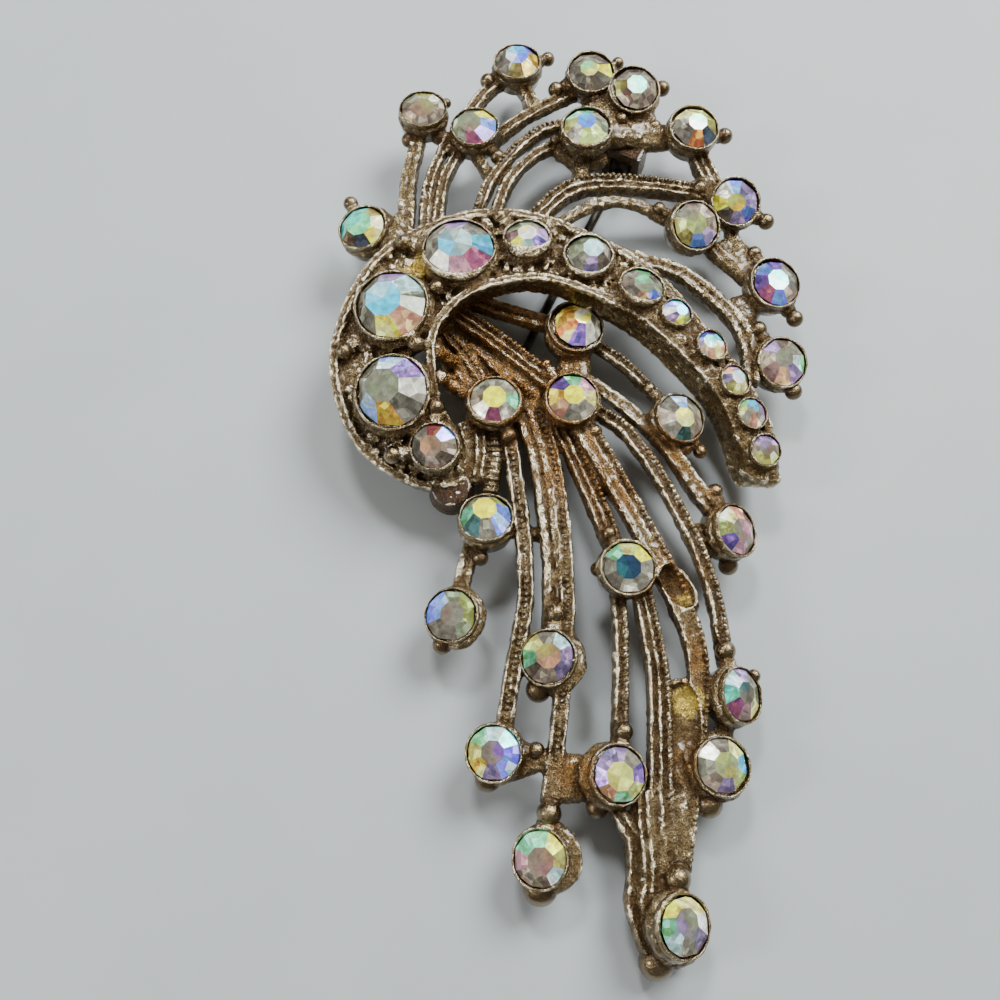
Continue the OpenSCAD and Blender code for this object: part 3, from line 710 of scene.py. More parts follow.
def stem(skin, beads, strands, root_w, tip_w, points):
    """A flat core with its strands side by side on it."""
    path = course(points, STEM_STEP)
    n = len(path)
    width = root_w + (tip_w - root_w) * np.linspace(0, 1, n)
    along, across, up = directions(path)
    sway = noise_3d(path, SWAY_WAVES, len(strands) + 11) * SWAY
    height = width * (STRAND_H if root_w > THIN_STEM else THIN_STRAND_H)
    skin.tube(path, width * CORE[0], height * CORE[1])
    for k, strand in enumerate(strands):
        side = ((k + 0.5) / len(strands) - 0.5) * width * SPREAD + sway
        half = width / (2 * len(strands)) * STRAND_FILL
        swell = 1 + SWELL * noise_3d(path + k * 9.1, SWELL_WAVES, 5)
        skin.tube(path, half * swell * (1 if strand == "s" else BEADED), height * swell, side=side)
        if strand == "s":
            for place in BROAD_WIRES if half.max() > BROAD_HALF else NARROW_WIRES:
                skin.tube(path, WIRE * swell, WIRE, side=side + half * place,
                          lift=height * swell * (WIRE_LIFT - abs(place) * WIRE_FALL),
                          count=WIRE_SIDES)
            continue
        long, broad, high, pitch, tilt = BEAD_KINDS[strand]
        top = (height * BEAD_BED[0] - high * BEAD_BED[1])[:, None]
        row = course(path + across * side[:, None] + up * top, pitch)
        row_along, row_across, row_up = directions(row)
        c, s = turned(tilt)
        for i in range(1, len(row) - 1):
            a = row_along[i] * c - row_across[i] * s
            b = row_along[i] * s + row_across[i] * c
            radii = np.array((broad, long, high)) * rng.uniform(*BEAD_SIZES)
            drop = row_up[i] * rng.uniform(*BEAD_DROPS)
            beads.ball(row[i] - drop, radii, (b, a, row_up[i]))


def knob(skin, at, radius):
    """A small round ball on a thick neck from the nearest cup's wall."""
    at = np.array(at, float)
    centre, axes, width = min(SETTINGS.values(), key=lambda s: np.linalg.norm(s[0] - at))
    radius = radius * KNOB_SHARE
    skin.ball(at, (radius,) * 3, level=3)
    under, free, thick = NECK
    way = centre - axes[2] * under - at
    far = np.linalg.norm(way) - free * width
    if far > 0:
        neck = at + unit(way) * np.linspace(0, far, 4)[:, None]
        skin.tube(neck, radius * thick, radius * thick)


def sprigs(family, stems, webs, knobs):
    skin = Skin()
    for row in stems:
        stem(skin, bead_rows[family], *row)
    for thickness, points in webs:
        skin.hull(points, thickness * WEB_SHARE)
    for at, radius in knobs:
        knob(skin, at, radius)
    for stone in SETTINGS:
        if stone.startswith(family):
            cup_root(skin, stone)
    return skin


upper_skin = sprigs("upper", UPPER_STEMS, UPPER_WEBS, UPPER_KNOBS)

LOWER_STEMS = [
    ("ss", 1.8, 1.6, [(-11, 15.5, 6), (-6.5, 14, 5.2), (-0.5, 12.25, 4.8)]),
    ("bss", 2.1, 2.1, [(-11.25, 13.75, 5.8), (-6.5, 10.5, 5), (-0.75, 5.5, 5.2)]),
    ("b", 1, 1, [(-12, 13, 5.4), (-8.75, 10, 4.6), (-2.5, 4.5, 4.8)]),
    ("bs", 1.2, 1.2, [(-12.5, 12.5, 5.4), (-9.75, 9.5, 4.6), (-7, 5, 4.8)]),
    ("s", 1, 1, [(-13, 11.5, 5.4), (-11, 8.75, 4.4), (-8, 3.5, 4.8)]),
    ("bs", 1.3, 1.2, [(1.5, 11.25, 4.8), (5.25, 8.25, 5), (9, 4, 4.8)]),
    ("ss", 1.2, 1.8, [(1, 7, 5.2), (4.5, 4.25, 5.4), (8.5, 0.25, 5.2), (13, -6.5, 4.2)]),
    ("bs", 1.6, 1.6, [(1, 4.5, 5.2), (5.25, 1.25, 5.4), (9, -5.5, 5.6), (11.75, -12.5, 5.2),
                      (13, -20, 3.8)]),
    ("bss", 2.5, 1.6, [(0.75, 2.5, 5.4), (3.25, -2.5, 5.8), (7.5, -11, 5.7), (10.25, -19, 4.9),
                       (9.5, -28, 4), (8.25, -36, 3.4)]),
    ("bss", 1.9, 2, [(-1, 2.5, 5), (1, -2.75, 5.4), (3.75, -9.75, 5.1)]),
    ("rs", 1.5, 1.5, [(3.75, -12, 5), (3.75, -18, 5.2), (3.5, -27, 3.8)]),
    ("rss", 1.9, 2.4, [(5.5, -12, 5.3), (6.75, -20, 5.1), (6.75, -30, 3.9), (7.25, -39, 2.8)]),
    ("ss", 1.9, 1.9, [(-4.5, 4.25, 5), (-3, -2, 5.5), (-2, -10, 5.6), (-2, -17, 4.6)]),
    ("sbs", 1.3, 1.6, [(-3.25, 4.5, 5), (-1.5, -2.25, 5.4), (-0.75, -12, 5.6), (-1.25, -22, 4.8),
                       (-2.75, -33, 3.2)]),
    ("sbs", 1.5, 1.6, [(-6, 2.5, 4.8), (-5, -3.5, 5.3), (-4.25, -12.75, 5.4), (-5.5, -20.75, 4.6),
                       (-6.25, -25.5, 3.4)]),
    ("c", 1.6, 1.7, [(-7, 3, 4.8), (-7, -1, 4.8), (-7.5, -5.5, 4.4)]),
    ("ss", 1.7, 1.6, [(-8.5, -7, 4.2), (-9.5, -10.5, 3.9), (-10.25, -14.25, 3.2)]),
    ("s", 0.9, 0.9, [(-9.75, 13.5, 4.8), (-7.75, 10.75, 4.8), (-5.5, 7.75, 4.9), (-2.75, 5.25, 4.9)]),
    ("ss", 1.1, 0.9, [(-10.5, 13.25, 4.5), (-8.5, 10.25, 4.6), (-6.5, 7.75, 4.8), (-5.5, 6.75, 4.8)]),
    ("s", 0.8, 0.9, [(-10.75, 13, 4.3), (-9.5, 10.25, 4.5), (-8, 7, 4.7)]),
    ("ss", 1, 1, [(-11.5, 12.75, 4.2), (-10.5, 10.25, 4.3), (-9.25, 7.25, 4.5), (-8, 4.75, 4.7)]),
    ("s", 0.7, 0.7, [(-11.5, 11.75, 4.3), (-11.75, 9.75, 4.3), (-11.5, 8, 4.4), (-10.75, 7.25, 4.5),
                     (-10.25, 8.5, 4.5), (-10.5, 10.25, 4.5)]),
    ("s", 0.9, 0.9, [(-11.3, 6, 4.8), (-10.1, 5.7, 4.6), (-9.3, 4.5, 4.6), (-9.2, 2.6, 4.7)]),
    ("s", 1, 1, [(-10, 2.5, 5), (-9.5, 0.5, 5), (-10, -2.25, 4.8)]),
    ("ss", 1.3, 1.2, [(-8.5, 2.5, 5), (-8.25, 0, 5), (-8.5, -2.5, 4.6)]),
    ("ss", 1.4, 1.6, [(2.9, -30.75, 3.6), (3.8, -32.5, 3.6), (4.4, -33.75, 3.5), (4.4, -36.25, 3.3),
                      (4.2, -38.25, 3.1), (4.7, -40, 2.8), (5.3, -41.5, 2.4), (6, -42.6, 2)]),
    ("ss", 1.3, 1.2, [(5.2, -29.75, 4.1), (5.2, -32.5, 4.1), (5.4, -34.25, 4), (5.4, -36.5, 3.7),
                      (5.2, -38.5, 3.4), (5.4, -40.2, 3.1), (6, -41.8, 2.5)]),
    ("s", 1.2, 1.1, [(5.5, -38.5, 3.4), (5.6, -39.7, 3.7), (5.5, -40.8, 3.2)]),
    ("ss", 1.2, 1.2, [(6.25, -28.75, 4), (6.25, -31.75, 4), (6.25, -34.25, 3.8), (6.25, -37, 3.5)]),
    ("s", 1.1, 1.1, [(7.5, -29.75, 4), (7.5, -32.5, 3.9), (7.5, -34.25, 3.8)]),
    ("s", 0.8, 0.8, [(9.25, -29.75, 3.9), (8.9, -31.75, 3.9), (8.9, -33.5, 3.8), (8.75, -35.25, 3.7)]),
    ("b", 0.7, 0.7, [(8.4, -31.5, 3.9), (8.2, -33, 3.9), (8, -34.6, 3.8)]),
    ("s", 1.4, 1.2, [(5, -41.4, 2.3), (5.6, -42.5, 2), (6.5, -42.9, 1.9), (7.6, -42.7, 1.9),
                     (8.75, -42.2, 2)]),
    ("s", 0.7, 0.7, [(7.5, -21.3, 4.7), (9, -20.9, 4.9), (10.5, -21.2, 4.7)]),
]
LOWER_WEBS = [
    (1.5, [(-0.25, 10.5, 4.8), (1.25, 10.25, 4.8), (-0.5, 6.5, 5.2), (1, 6, 5.2)]),
    (1.4, [(-6, 4.25, 5), (-1, 4, 5.4)]),
    (1.2, [(-9.5, 2, 5), (-7.5, 2, 4.8), (-9.25, -2.5, 4.4), (-8, -2.5, 4.4)]),
    (1.2, [(-6.5, -7.5, 4.4), (-1.75, -8.25, 5.2)]),
    (1.4, [(13.25, -7, 4), (10.25, -8, 5), (11.25, -10, 4.8)]),
    (1.2, [(5.75, -10.5, 5), (8, -11, 5.4)]),
    (1.6, [(8.75, -13, 5), (8, -11, 5), (9, -15, 4.6)]),
    (1.4, [(-6, -25.75, 3.6), (-2.5, -27.25, 4), (-5.5, -28.25, 3.4)]),
    (1.6, [(-2, -27.5, 4), (-2.25, -30, 3.8), (2.25, -27.75, 3.6), (2.25, -29.5, 3.4)]),
    (1.2, [(7.5, -21.5, 4.2), (10, -21, 4.2), (7, -30, 3.6), (9.25, -29, 3.6)]),
    (1.5, [(10.75, -27.5, 3.4), (8.25, -28.25, 3.8), (9.25, -30.25, 3.6)]),
    (1.4, [(5, -30.5, 3.8), (8.5, -30.5, 4), (5.5, -39, 2.8), (8, -38, 3)]),
    (1.7, [(6.4, -42.4, 1.9), (7.4, -42.6, 1.9), (8.5, -42.2, 2)]),
    (1.3, [(4.2, -32, 3.3), (6.2, -32, 3.6), (4.6, -39, 2.8), (6.2, -39, 3), (5.8, -41.4, 2.4)]),
    (1.4, [(14, -21.5, 3.6), (12.75, -23.5, 3.8), (11.75, -26.5, 3.6)]),
    (2.2, [(7.9, -11.6, 4.9), (9.5, -14.4, 4.8)]),
    (1.0, [(-11.25, 12.5, 4), (-3, 5.25, 4.2), (-8, 4, 4.2), (-10.5, 8, 4)]),
    (1.4, [(-11.25, 1.7, 4.2), (-7.25, 2.4, 4.4), (-11, -2.25, 4), (-7.25, -2.5, 4)]),
    (1.8, [(-11.5, 14.75, 6.4), (-12.5, 12.25, 6), (-10, 13.5, 5.2)]),
    (1.2, [(-12, 6.4, 6.8), (-10.7, 6.1, 5.4)]),
    (1.3, [(-12.5, 9, 7), (-10.5, 8.75, 4.6)]),
]
LOWER_KNOBS = [
    ((-5.75, 1, 6), 0.65), ((-10.75, 5.75, 6), 0.65), ((2, 1.25, 6.2), 0.65),
    ((-2.25, 8, 6.2), 0.45), ((11.75, 0, 4.6), 0.58), ((7.25, 5.75, 5.6), 0.58),
    ((10.25, 0, 5.2), 0.58), ((-8.25, -10, 4.6), 0.65), ((-11.5, -17.5, 3.6), 0.78),
    ((13.75, -10.5, 3.8), 0.78), ((12.75, -4, 5), 0.65), ((2, -11.25, 5.4), 0.58),
    ((3, -8.25, 6.2), 0.58), ((-1.75, -15.25, 6), 0.78), ((-3.25, -21.5, 4.4), 0.97),
    ((-7.5, -28.75, 3.6), 0.97), ((-3.5, -26.5, 4.4), 0.65), ((3.75, -25, 5), 0.72),
    ((1.5, -31, 3.8), 0.85), ((15.25, -20.25, 3.8), 0.52), ((12.75, -18.25, 4.8), 0.78),
    ((10.75, -30.75, 3.6), 1.04), ((-2.5, -31.5, 4.4), 0.91), ((-3.25, -37.25, 3), 1.3),
    ((7.75, -36.5, 4.2), 0.98), ((6.1, -42.9, 1.8), 1.3), ((-10.5, -0.75, 5.4), 0.58),
    ((-11, 6.25, 5.4), 0.6),
]
CRESCENT_KNOBS = [
    ((-15.5, 19.25, 8.8), 0.65), ((-12.25, 14, 9.6), 0.65), ((-14, 8.5, 9.2), 0.72),
    ((-20.75, 8.75, 7.2), 0.72), ((-16, -1.25, 7), 0.72), ((-6.5, 22, 8.8), 0.65),
    ((-12.25, 2.75, 8.4), 0.72),
]
# dishes in the metal: middle and radii (mm), turn (degrees)
SCOOPS = [
    ((8.7, -13, 6.5), (2.1, 1.15, 1.1), -55),
    ((9.0, -24.5, 5.2), (1.3, 3.2, 0.9), 0),
]
# the raised rim of the first dish: its height over the table, its half width and height
OVAL_Z = 6.0
OVAL_RIM = (0.22, 0.3)
OVAL_PARTS = 49

lower_skin = sprigs("lower", LOWER_STEMS, LOWER_WEBS, LOWER_KNOBS)
oval_at, (oval_long, oval_wide, _), oval_angle = SCOOPS[0]
c, s = turned(oval_angle)
oval_way, oval_side = np.array((c, s, 0)), np.array((-s, c, 0))
oval_rim = np.array([
    np.array((oval_at[0], oval_at[1], OVAL_Z)) + oval_way * oval_long * math.cos(t)
    + oval_side * oval_wide * math.sin(t)
    for t in np.linspace(0, 2 * math.pi, OVAL_PARTS)
])
lower_skin.tube(oval_rim, *OVAL_RIM)
for at, radius in CRESCENT_KNOBS:
    knob(crescent, at, radius)

CRESCENT_GRAIN = 1.2
metal_piece("crescent", *cast(crescent, CRESCENT_KNOBS, grain_share=CRESCENT_GRAIN))
metal_piece("upper_sprigs", *cast(upper_skin, UPPER_KNOBS))
metal_piece("lower_sprigs", *cast(lower_skin, LOWER_KNOBS, SCOOPS))
for family in ("crescent", "upper", "lower"):
    cups_of(family)
for family, skin in bead_rows.items():
    metal_piece(family + "_bead_rows", np.array(skin.points), skin.faces)

# The findings on the back: a bent bracket soldered under the upper cluster, which
# holds the pin's hinge, and a round hook under the crescent's end, which is the catch.

# where the pin starts and ends, its height and thickness, the play round it, the width
# of its eye in the hinge, and the thickness of the ears beside that (mm)
HINGE = np.array((6.5, 33.5))
CATCH = np.array((-11.3, -3))
PIN_Z = 1.6
PIN_D = 0.9
PIN_GAP = 0.12
KNUCKLE_W = 1.8
EAR_T = 0.9
# half the bracket's length, its plate's underside and thickness, the ears' height in it
BRACKET_HALF = 1.4
PLATE_Z = 3.2
PLATE_T = 1.2
EAR_IN = 0.6
# the hook: its length along the pin, half of its flat inside and outside, the depth of
# its softened edges, its play, where it starts and ends round the pin (degrees)
HOOK_T = 1.4
HOOK_IN_HALF = 0.55
HOOK_OUT_HALF = 0.5
HOOK_SOFT = 0.15
HOOK_GAP = 0.02
HOOK_TURN = (38, 322)
HOOK_PARTS = 40
# the round disc on the catch: its middle along and across the pin from the hook, then
# radius and height of each ring
DISC_SHIFT = (0.36, 0.62, 0)
DISC_RINGS = [(1.95, 2.92), (2.08, 3.05), (2.05, 3.4), (1.8, 5.3)]
FINDINGS_GRAIN = 0.35
ROUND_OFF = 0.12
pin_way = unit(CATCH - HINGE)
pin_axes = np.array(((pin_way[0], pin_way[1], 0), (-pin_way[1], pin_way[0], 0), (0, 0, 1)))


def block(skin, low, high):
    """A block with softened edges, measured from the hinge along the pin."""
    corners = np.array([(x, y, z) for x in (low[0], high[0]) for y in (low[1], high[1])
                        for z in (low[2], high[2])])
    middle = corners.mean(axis=0)
    corners = middle + (corners - middle) * (1 - ROUND_OFF / np.abs(corners - middle))
    skin.hull(np.array((*HINGE, 0)) + corners @ pin_axes, ROUND_OFF)


findings = Skin()
ear = KNUCKLE_W / 2 + PIN_GAP
for side in (-1, 1):
    inner_y, outer_y = sorted((side * ear, side * (ear + EAR_T)))
    block(findings, (-BRACKET_HALF, inner_y, 0), (BRACKET_HALF, outer_y, PLATE_Z + EAR_IN))
block(findings, (-BRACKET_HALF, -ear - EAR_T, PLATE_Z), (BRACKET_HALF, ear + EAR_T, PLATE_Z + PLATE_T))
hook_in = PIN_D / 2 + PIN_GAP + HOOK_GAP
hook_out = PIN_Z - HOOK_GAP
# the hook's section: distance from the pin, place along it
hook_section = [
    (hook_in, -HOOK_IN_HALF), (hook_in, HOOK_IN_HALF), (hook_in + HOOK_SOFT, HOOK_T / 2),
    (PIN_Z - HOOK_SOFT, HOOK_T / 2), (hook_out, HOOK_OUT_HALF), (hook_out, -HOOK_OUT_HALF),
    (PIN_Z - HOOK_SOFT, -HOOK_T / 2), (hook_in + HOOK_SOFT, -HOOK_T / 2)]
hook_rings = []
for turn in np.radians(np.linspace(*HOOK_TURN, HOOK_PARTS)):
    spoke = np.array((0, math.cos(turn), math.sin(turn)))
    hook_rings.append([np.array((*CATCH, PIN_Z)) + (spoke * reach + np.array((x, 0, 0))) @ pin_axes
                       for reach, x in hook_section])
findings.loft(hook_rings)
disc_turn = full_turn(HOOK_PARTS)
disc_at = np.array((*CATCH, 0)) + np.array(DISC_SHIFT) @ pin_axes
findings.loft([
    disc_at + np.stack((np.cos(disc_turn) * r, np.sin(disc_turn) * r, 0 * disc_turn + z), axis=1)
    for r, z in DISC_RINGS
])
metal_piece("findings", *cast(findings, grain_share=FINDINGS_GRAIN))

# The metal's finish: pale gold plate over white metal, worn bright on the ridges,
# brown-black patina in the hollows, amber where the plate has gone off in the hub.
# The patina is also painted shade in the hollows, on steep sides and under the lips,
# the crescent is painted lighter all over, and the tops of the beads are worn bright
# with a painted highlight.

# the plate, the plate worn thin, the findings' dark steel, also dark as painted shade
# under the brooch, the bright worn metal, the patina, which is also painted shade, the
# amber and the gilt
PLATE = (0.205, 0.147, 0.070, 1)
WORN = (0.38, 0.29, 0.15, 1)
STEEL_AND_SHADE = (0.070, 0.042, 0.026, 1)
BRIGHT = (0.95, 0.83, 0.60, 1)
BROWN = (0.088, 0.047, 0.015, 1)
AMBER = (0.27, 0.135, 0.038, 1)
GILT = (0.78, 0.58, 0.12, 1)
# patches where the plate has turned: x, y, radius (mm), strength
AMBER_PATCHES = [(-8, 9, 7, 1.0), (-3, 4, 5, 0.9), (0, -2, 4, 0.8), (3, -5, 3.5, 0.7),
                 (8.6, -12, 3, 0.7), (9.5, -19, 3, 0.5), (0, -28.5, 2.5, 0.6), (9.5, 0, 4, 0.6),
                 (12, -5, 3, 0.4), (9, -27.5, 2, 0.5), (-6, 13, 5, 0.8), (0, 9, 3, 0.5)]
GILT_PATCHES = [(-14.5, 16.5, 2.4, 0.8), (9.3, -14.1, 1.1, 0.75), (9.3, -22.5, 1.8, 1.0),
                (10.8, -6.5, 2, 0.5), (-1.5, 18.5, 2.5, 0.25), (11, 14, 3, 0.25),
                (16.5, -1, 5, 0.5), (13, 7, 4, 0.35)]
# a patch fades out at this many times its radius
PATCH_END = 1.35
# the blotches, the coarse and the fine grain on the metal: waves per metre, detail;
# then how rough they are, how deep (m), their shares of it, and how much a ball lacks
BLOTCHES = (420.0, 4.0)
COARSE_GRAIN = (1700.0, 5.0)
FINE_GRAIN = (5200.0, 3.0)
GRAIN_ROUGH = 0.65
GRAIN_DEPTH = 0.0004
COARSE_SHARE, FINE_SHARE = 0.58, 0.42
BALL_SMOOTH = 0.6
# how much each of these brightens the metal by wear, or dulls it; the patina and the
# painted shade dull it too
RIDGE_WEAR, BLOTCH_WEAR, COARSE_WEAR, FINE_WEAR = 1.1, 1.0, 1.35, 1.3
PATINA_SHADE_DULL, BALL_DULL, AMBER_DULL = 0.95, 0.3, 0.5
# from and to which wear the plate, the amber, the thin plate and bare metal come out
PLATE_WEAR = (-0.85, 0.15)
AMBER_WEAR = (-1.3, -0.1)
THIN_WEAR = (0.15, 0.7)
BRIGHT_WEAR = (0.45, 0.9)
# how strong the amber is, and from and to which strength amber and gilt come out; the
# gilt also follows the coarse and the fine grain
AMBER_STRONG = 0.95
AMBER_EDGE = (0.1, 0.75)
GILT_EDGE = (0.5, 1.1)
GILT_COARSE, GILT_FINE, GILT_LESS = 1.6, 1.2, 0.3
# the map of the metal's height: size of a cell and width of the empty edge (mm), blur
# (cells), how far below the height around it a place gets the full patina and painted
# shade, and how much the map is raised before that (mm)
CELL = 0.25
MAP_EDGE = 2
BLUR = 3.2
HOLLOW_DEPTH = 2.2
HOLLOW_RISE = 0.1
# how dark a steep side is painted with shade, and how far up it then faces; how much of
# the crescent's depth shows as patina and painted shade, how much painted light brightens
# the crescent all over, how much less patina and painted shade an amber patch gets
STEEP_SHADE = 0.55
STEEP_FROM = 0.7
CRESCENT_DARK = 0.08
CRESCENT_PAINTED_LIGHT = 0.2
AMBER_LIGHT = 0.7
# amber is left off what stands higher than this (mm)
AMBER_TOP = 8.2
# the drums under the lips get painted shade from and to these distances beside the stone,
# and from and to these depths below its widest line (mm); then how dark
DRUM_SHADE = (0.15, 1.0)
DRUM_DEPTHS = (0.1, 2)
DRUM_PAINTED_SHADE = 0.6
# a bulge of this height over the metal round it is a fully worn ridge (mm). The lips
# are worn less, and a bead is worn bright where it faces up, a painted highlight as well,
# as if it bulged there by BEAD_H.
RIDGE_H = 0.065
LIP_WEAR = 0.75
BEAD_H = 0.05
BEAD_UP, BEAD_SIDE, BEAD_MOST = 5, 3.6, 1.2
# a ball's own finish: over how many mm it fades, and how many times that it reaches out
BALL_FADE = 0.15
BALL_REACH = 1.5


class Wire:
    """One value in a material: sums on it add Math nodes, node() adds any other."""

    def __init__(self, tree, socket=None):
        self.tree = tree
        self.socket = socket

    def node(self, kind, settings, values, out=0):
        made = self.tree.nodes.new(kind)
        for name, value in settings.items():
            setattr(made, name, value)
        for name, value in values.items():
            if isinstance(value, Wire):
                self.tree.links.new(value.socket, made.inputs[name])
            else:
                made.inputs[name].default_value = value
        return Wire(self.tree, made.outputs[out]) if made.outputs else None

    def math(self, operation, a, b):
        return self.node("ShaderNodeMath", {"operation": operation}, {0: a, 1: b})

    def __add__(self, other):
        return self.math("ADD", self, other)

    def __sub__(self, other):
        return self.math("SUBTRACT", self, other)

    def __rsub__(self, other):
        return self.math("SUBTRACT", other, self)

    def __mul__(self, other):
        return self.math("MULTIPLY", self, other)

    __radd__ = __add__
    __rmul__ = __mul__

    def between(self, low, high):
        """0 below low, 1 above high, smooth between them."""
        return self.node("ShaderNodeMapRange", {"interpolation_type": "SMOOTHSTEP"},
                         {"Value": self, "From Min": low, "From Max": high})

    def blend(self, a, b):
        """The colour a where this is 0, b where it is 1."""
        return self.node("ShaderNodeMix", {"data_type": "RGBA"}, {0: self, 6: a, 7: b}, out=2)


def new_material(name):
    material = bpy.data.materials.new(name)
    material.use_nodes = True
    material.node_tree.nodes.clear()
    return material, Wire(material.node_tree)


def place_on(wire):
    return wire.node("ShaderNodeTexCoord", {}, {}, out="Object")


def painted(wire, name, out="Fac"):
    """A value kept in the mesh under this name."""
    return wire.node("ShaderNodeAttribute", {"attribute_name": name}, {}, out=out)


def grain(wire, place, scale, detail, roughness=0.5):
    return wire.node("ShaderNodeTexNoise", {}, {
        "Vector": place, "Scale": scale, "Detail": detail, "Roughness": roughness}, out=0)


def dented(wire, strength, distance, height):
    return wire.node("ShaderNodeBump", {}, {
        "Strength": strength, "Distance": distance, "Height": height})


def finish_material(wire, sockets):
    surface = wire.node("ShaderNodeBsdfPrincipled", {}, sockets)
    wire.node("ShaderNodeOutputMaterial", {}, {"Surface": surface})


def worn_shaded_metal(name, plate):
    material, wire = new_material(name)
    place = place_on(wire)
    hollow, ridge, amber, gilt, ball = (
        painted(wire, key) for key in ("hollow", "ridge", "amber", "gilt", "ball"))
    blotch, coarse, fine = (
        grain(wire, place, *waves, GRAIN_ROUGH) for waves in (BLOTCHES, COARSE_GRAIN, FINE_GRAIN))
    grainy = 1 - ball * BALL_SMOOTH
    # ridges and grain wear bright, while hollows with their patina and painted shade, balls
    # and the amber patches stay dull, and painted light brightens the crescent
    wear_and_shade = (ridge * grainy * RIDGE_WEAR - hollow * PATINA_SHADE_DULL - ball * BALL_DULL
            - amber * AMBER_DULL + (blotch - 0.5) * BLOTCH_WEAR
            + ((coarse - 0.5) * COARSE_WEAR + (fine - 0.5) * FINE_WEAR) * grainy)
    base = wear_and_shade.between(*PLATE_WEAR).blend(BROWN, plate)
    base = (amber * AMBER_STRONG * (blotch + 0.5)).between(*AMBER_EDGE).blend(
        base, wear_and_shade.between(*AMBER_WEAR).blend(BROWN, AMBER))
    gilded = gilt * (coarse * GILT_COARSE + fine * GILT_FINE - GILT_LESS)
    base = gilded.between(*GILT_EDGE).blend(base, GILT)
    base = wear_and_shade.between(*THIN_WEAR).blend(base, WORN) if plate == PLATE else base
    base = wear_and_shade.between(*BRIGHT_WEAR).blend(base, BRIGHT)
    rough = 0.27 - wear_and_shade.between(-0.2, 0.9) * 0.16 - ball * 0.08 + (fine - 0.5) * 0.25
    finish_material(wire, {
        "Base Color": base, "Metallic": wear_and_shade.between(-0.9, -0.1) * 0.35 + 0.65,
        "Roughness": rough, "Coat Weight": wear_and_shade.between(-0.7, 0.3) * 0.65 + ball * 0.2 + 0.1,
        "Coat Roughness": 0.06, "Coat IOR": 1.6,
        "Normal": dented(wire, 1.0, GRAIN_DEPTH, (coarse * COARSE_SHARE + fine * FINE_SHARE) * grainy)})
    return material


def patches(points, rows):
    value = np.zeros(len(points))
    for x, y, radius, strength in rows:
        far = np.hypot(points[:, 0] - x, points[:, 1] - y) / radius
        value = np.maximum(value, strength * np.clip(PATCH_END - far, 0, 1))
    return value


def blurred(grid, sigma):
    reach = int(sigma * 3)
    bell = np.exp(-0.5 * (np.arange(-reach, reach + 1) / sigma) ** 2)
    for axis in (0, 1):
        grid = np.apply_along_axis(lambda row: np.convolve(row, bell / bell.sum(), "same"), axis, grid)
    return grid


# the height of the metal seen from above, smoothed: what lies well below it gets patina
# and painted shade
all_points = np.concatenate([points for _, points, _ in metal_pieces])
low_corner = all_points[:, :2].min(axis=0) - MAP_EDGE
cells = ((all_points[:, :2] - low_corner) / CELL).astype(int)
roof = np.zeros(cells.max(axis=0) + 10)
np.maximum.at(roof, tuple(cells.T), all_points[:, 2])
solid = (roof > 0).astype(float)
roof_mean = blurred(roof, BLUR) / np.maximum(blurred(solid, BLUR), 0.02)
cast_finish = worn_shaded_metal("worn_shaded_metal", PLATE)
dark_finish = worn_shaded_metal("dark_findings", STEEL_AND_SHADE)
for piece, points, faces in metal_pieces:
    spot = tuple(((points[:, :2] - low_corner) / CELL).astype(int).T)
    edges = edges_of(faces)
    facing = normals_of(points, faces)
    # patina and painted shade where the metal lies below the height around it
    hollow = np.clip((roof_mean[spot] + HOLLOW_RISE - points[:, 2]) / HOLLOW_DEPTH, 0, 1)
    # painted shade on the steep sides
    hollow = np.clip(hollow + STEEP_SHADE * np.clip(STEEP_FROM - facing[:, 2], 0, 1), 0, 1)
    amber = patches(points, AMBER_PATCHES) * (points[:, 2] < AMBER_TOP)
    # the crescent keeps little of it and is painted lighter all over; the amber patches get less
    if piece.name == "crescent":
        hollow = hollow * CRESCENT_DARK - CRESCENT_PAINTED_LIGHT
    else:
        hollow = hollow * (1 - AMBER_LIGHT * amber)
    # painted shade on the drums under the lips
    for centre, axes, width in SETTINGS.values():
        local = (points - centre) @ axes.T
        beside = np.hypot(local[:, 0], local[:, 1]) - width / 2
        under_lip_shade = ((beside > DRUM_SHADE[0]) & (beside < DRUM_SHADE[1])
                & (local[:, 2] < -DRUM_DEPTHS[0]) & (local[:, 2] > -DRUM_DEPTHS[1]))
        hollow[under_lip_shade] = np.maximum(hollow[under_lip_shade], DRUM_PAINTED_SHADE)
    means = points
    for _ in range(SOFTENINGS):
        means = neighbours_mean(points, edges, means)
    bulge = np.einsum("ij,ij->i", points - means, facing)
    if "cups" in piece.name:
        bulge = bulge * LIP_WEAR
    # a bead is worn bright where it faces up, which is also a painted highlight
    if "bead" in piece.name:
        bulge = np.clip(facing[:, 2] * BEAD_UP - BEAD_SIDE, -1, BEAD_MOST) * BEAD_H
    bulge = neighbours_mean(points, edges, bulge[:, None])[:, 0]
    ball = np.zeros(len(points))
    for at, radius in UPPER_KNOBS + LOWER_KNOBS + CRESCENT_KNOBS:
        far = np.linalg.norm(points - np.array(at), axis=1) - radius * KNOB_SHARE
        ball = np.maximum(ball, np.clip(BALL_REACH - far / BALL_FADE, 0, 1))
    values = {
        "hollow": hollow, "ridge": np.clip(bulge / RIDGE_H, -1, 1), "ball": ball, "amber": amber,
        "gilt": patches(points, GILT_PATCHES),
    }
    for key, value in values.items():
        piece.data.attributes.new(key, "FLOAT", "POINT").data.foreach_set(
            "value", value.astype(np.float32))
    piece.data.materials.append(dark_finish if piece.name == "findings" else cast_finish)
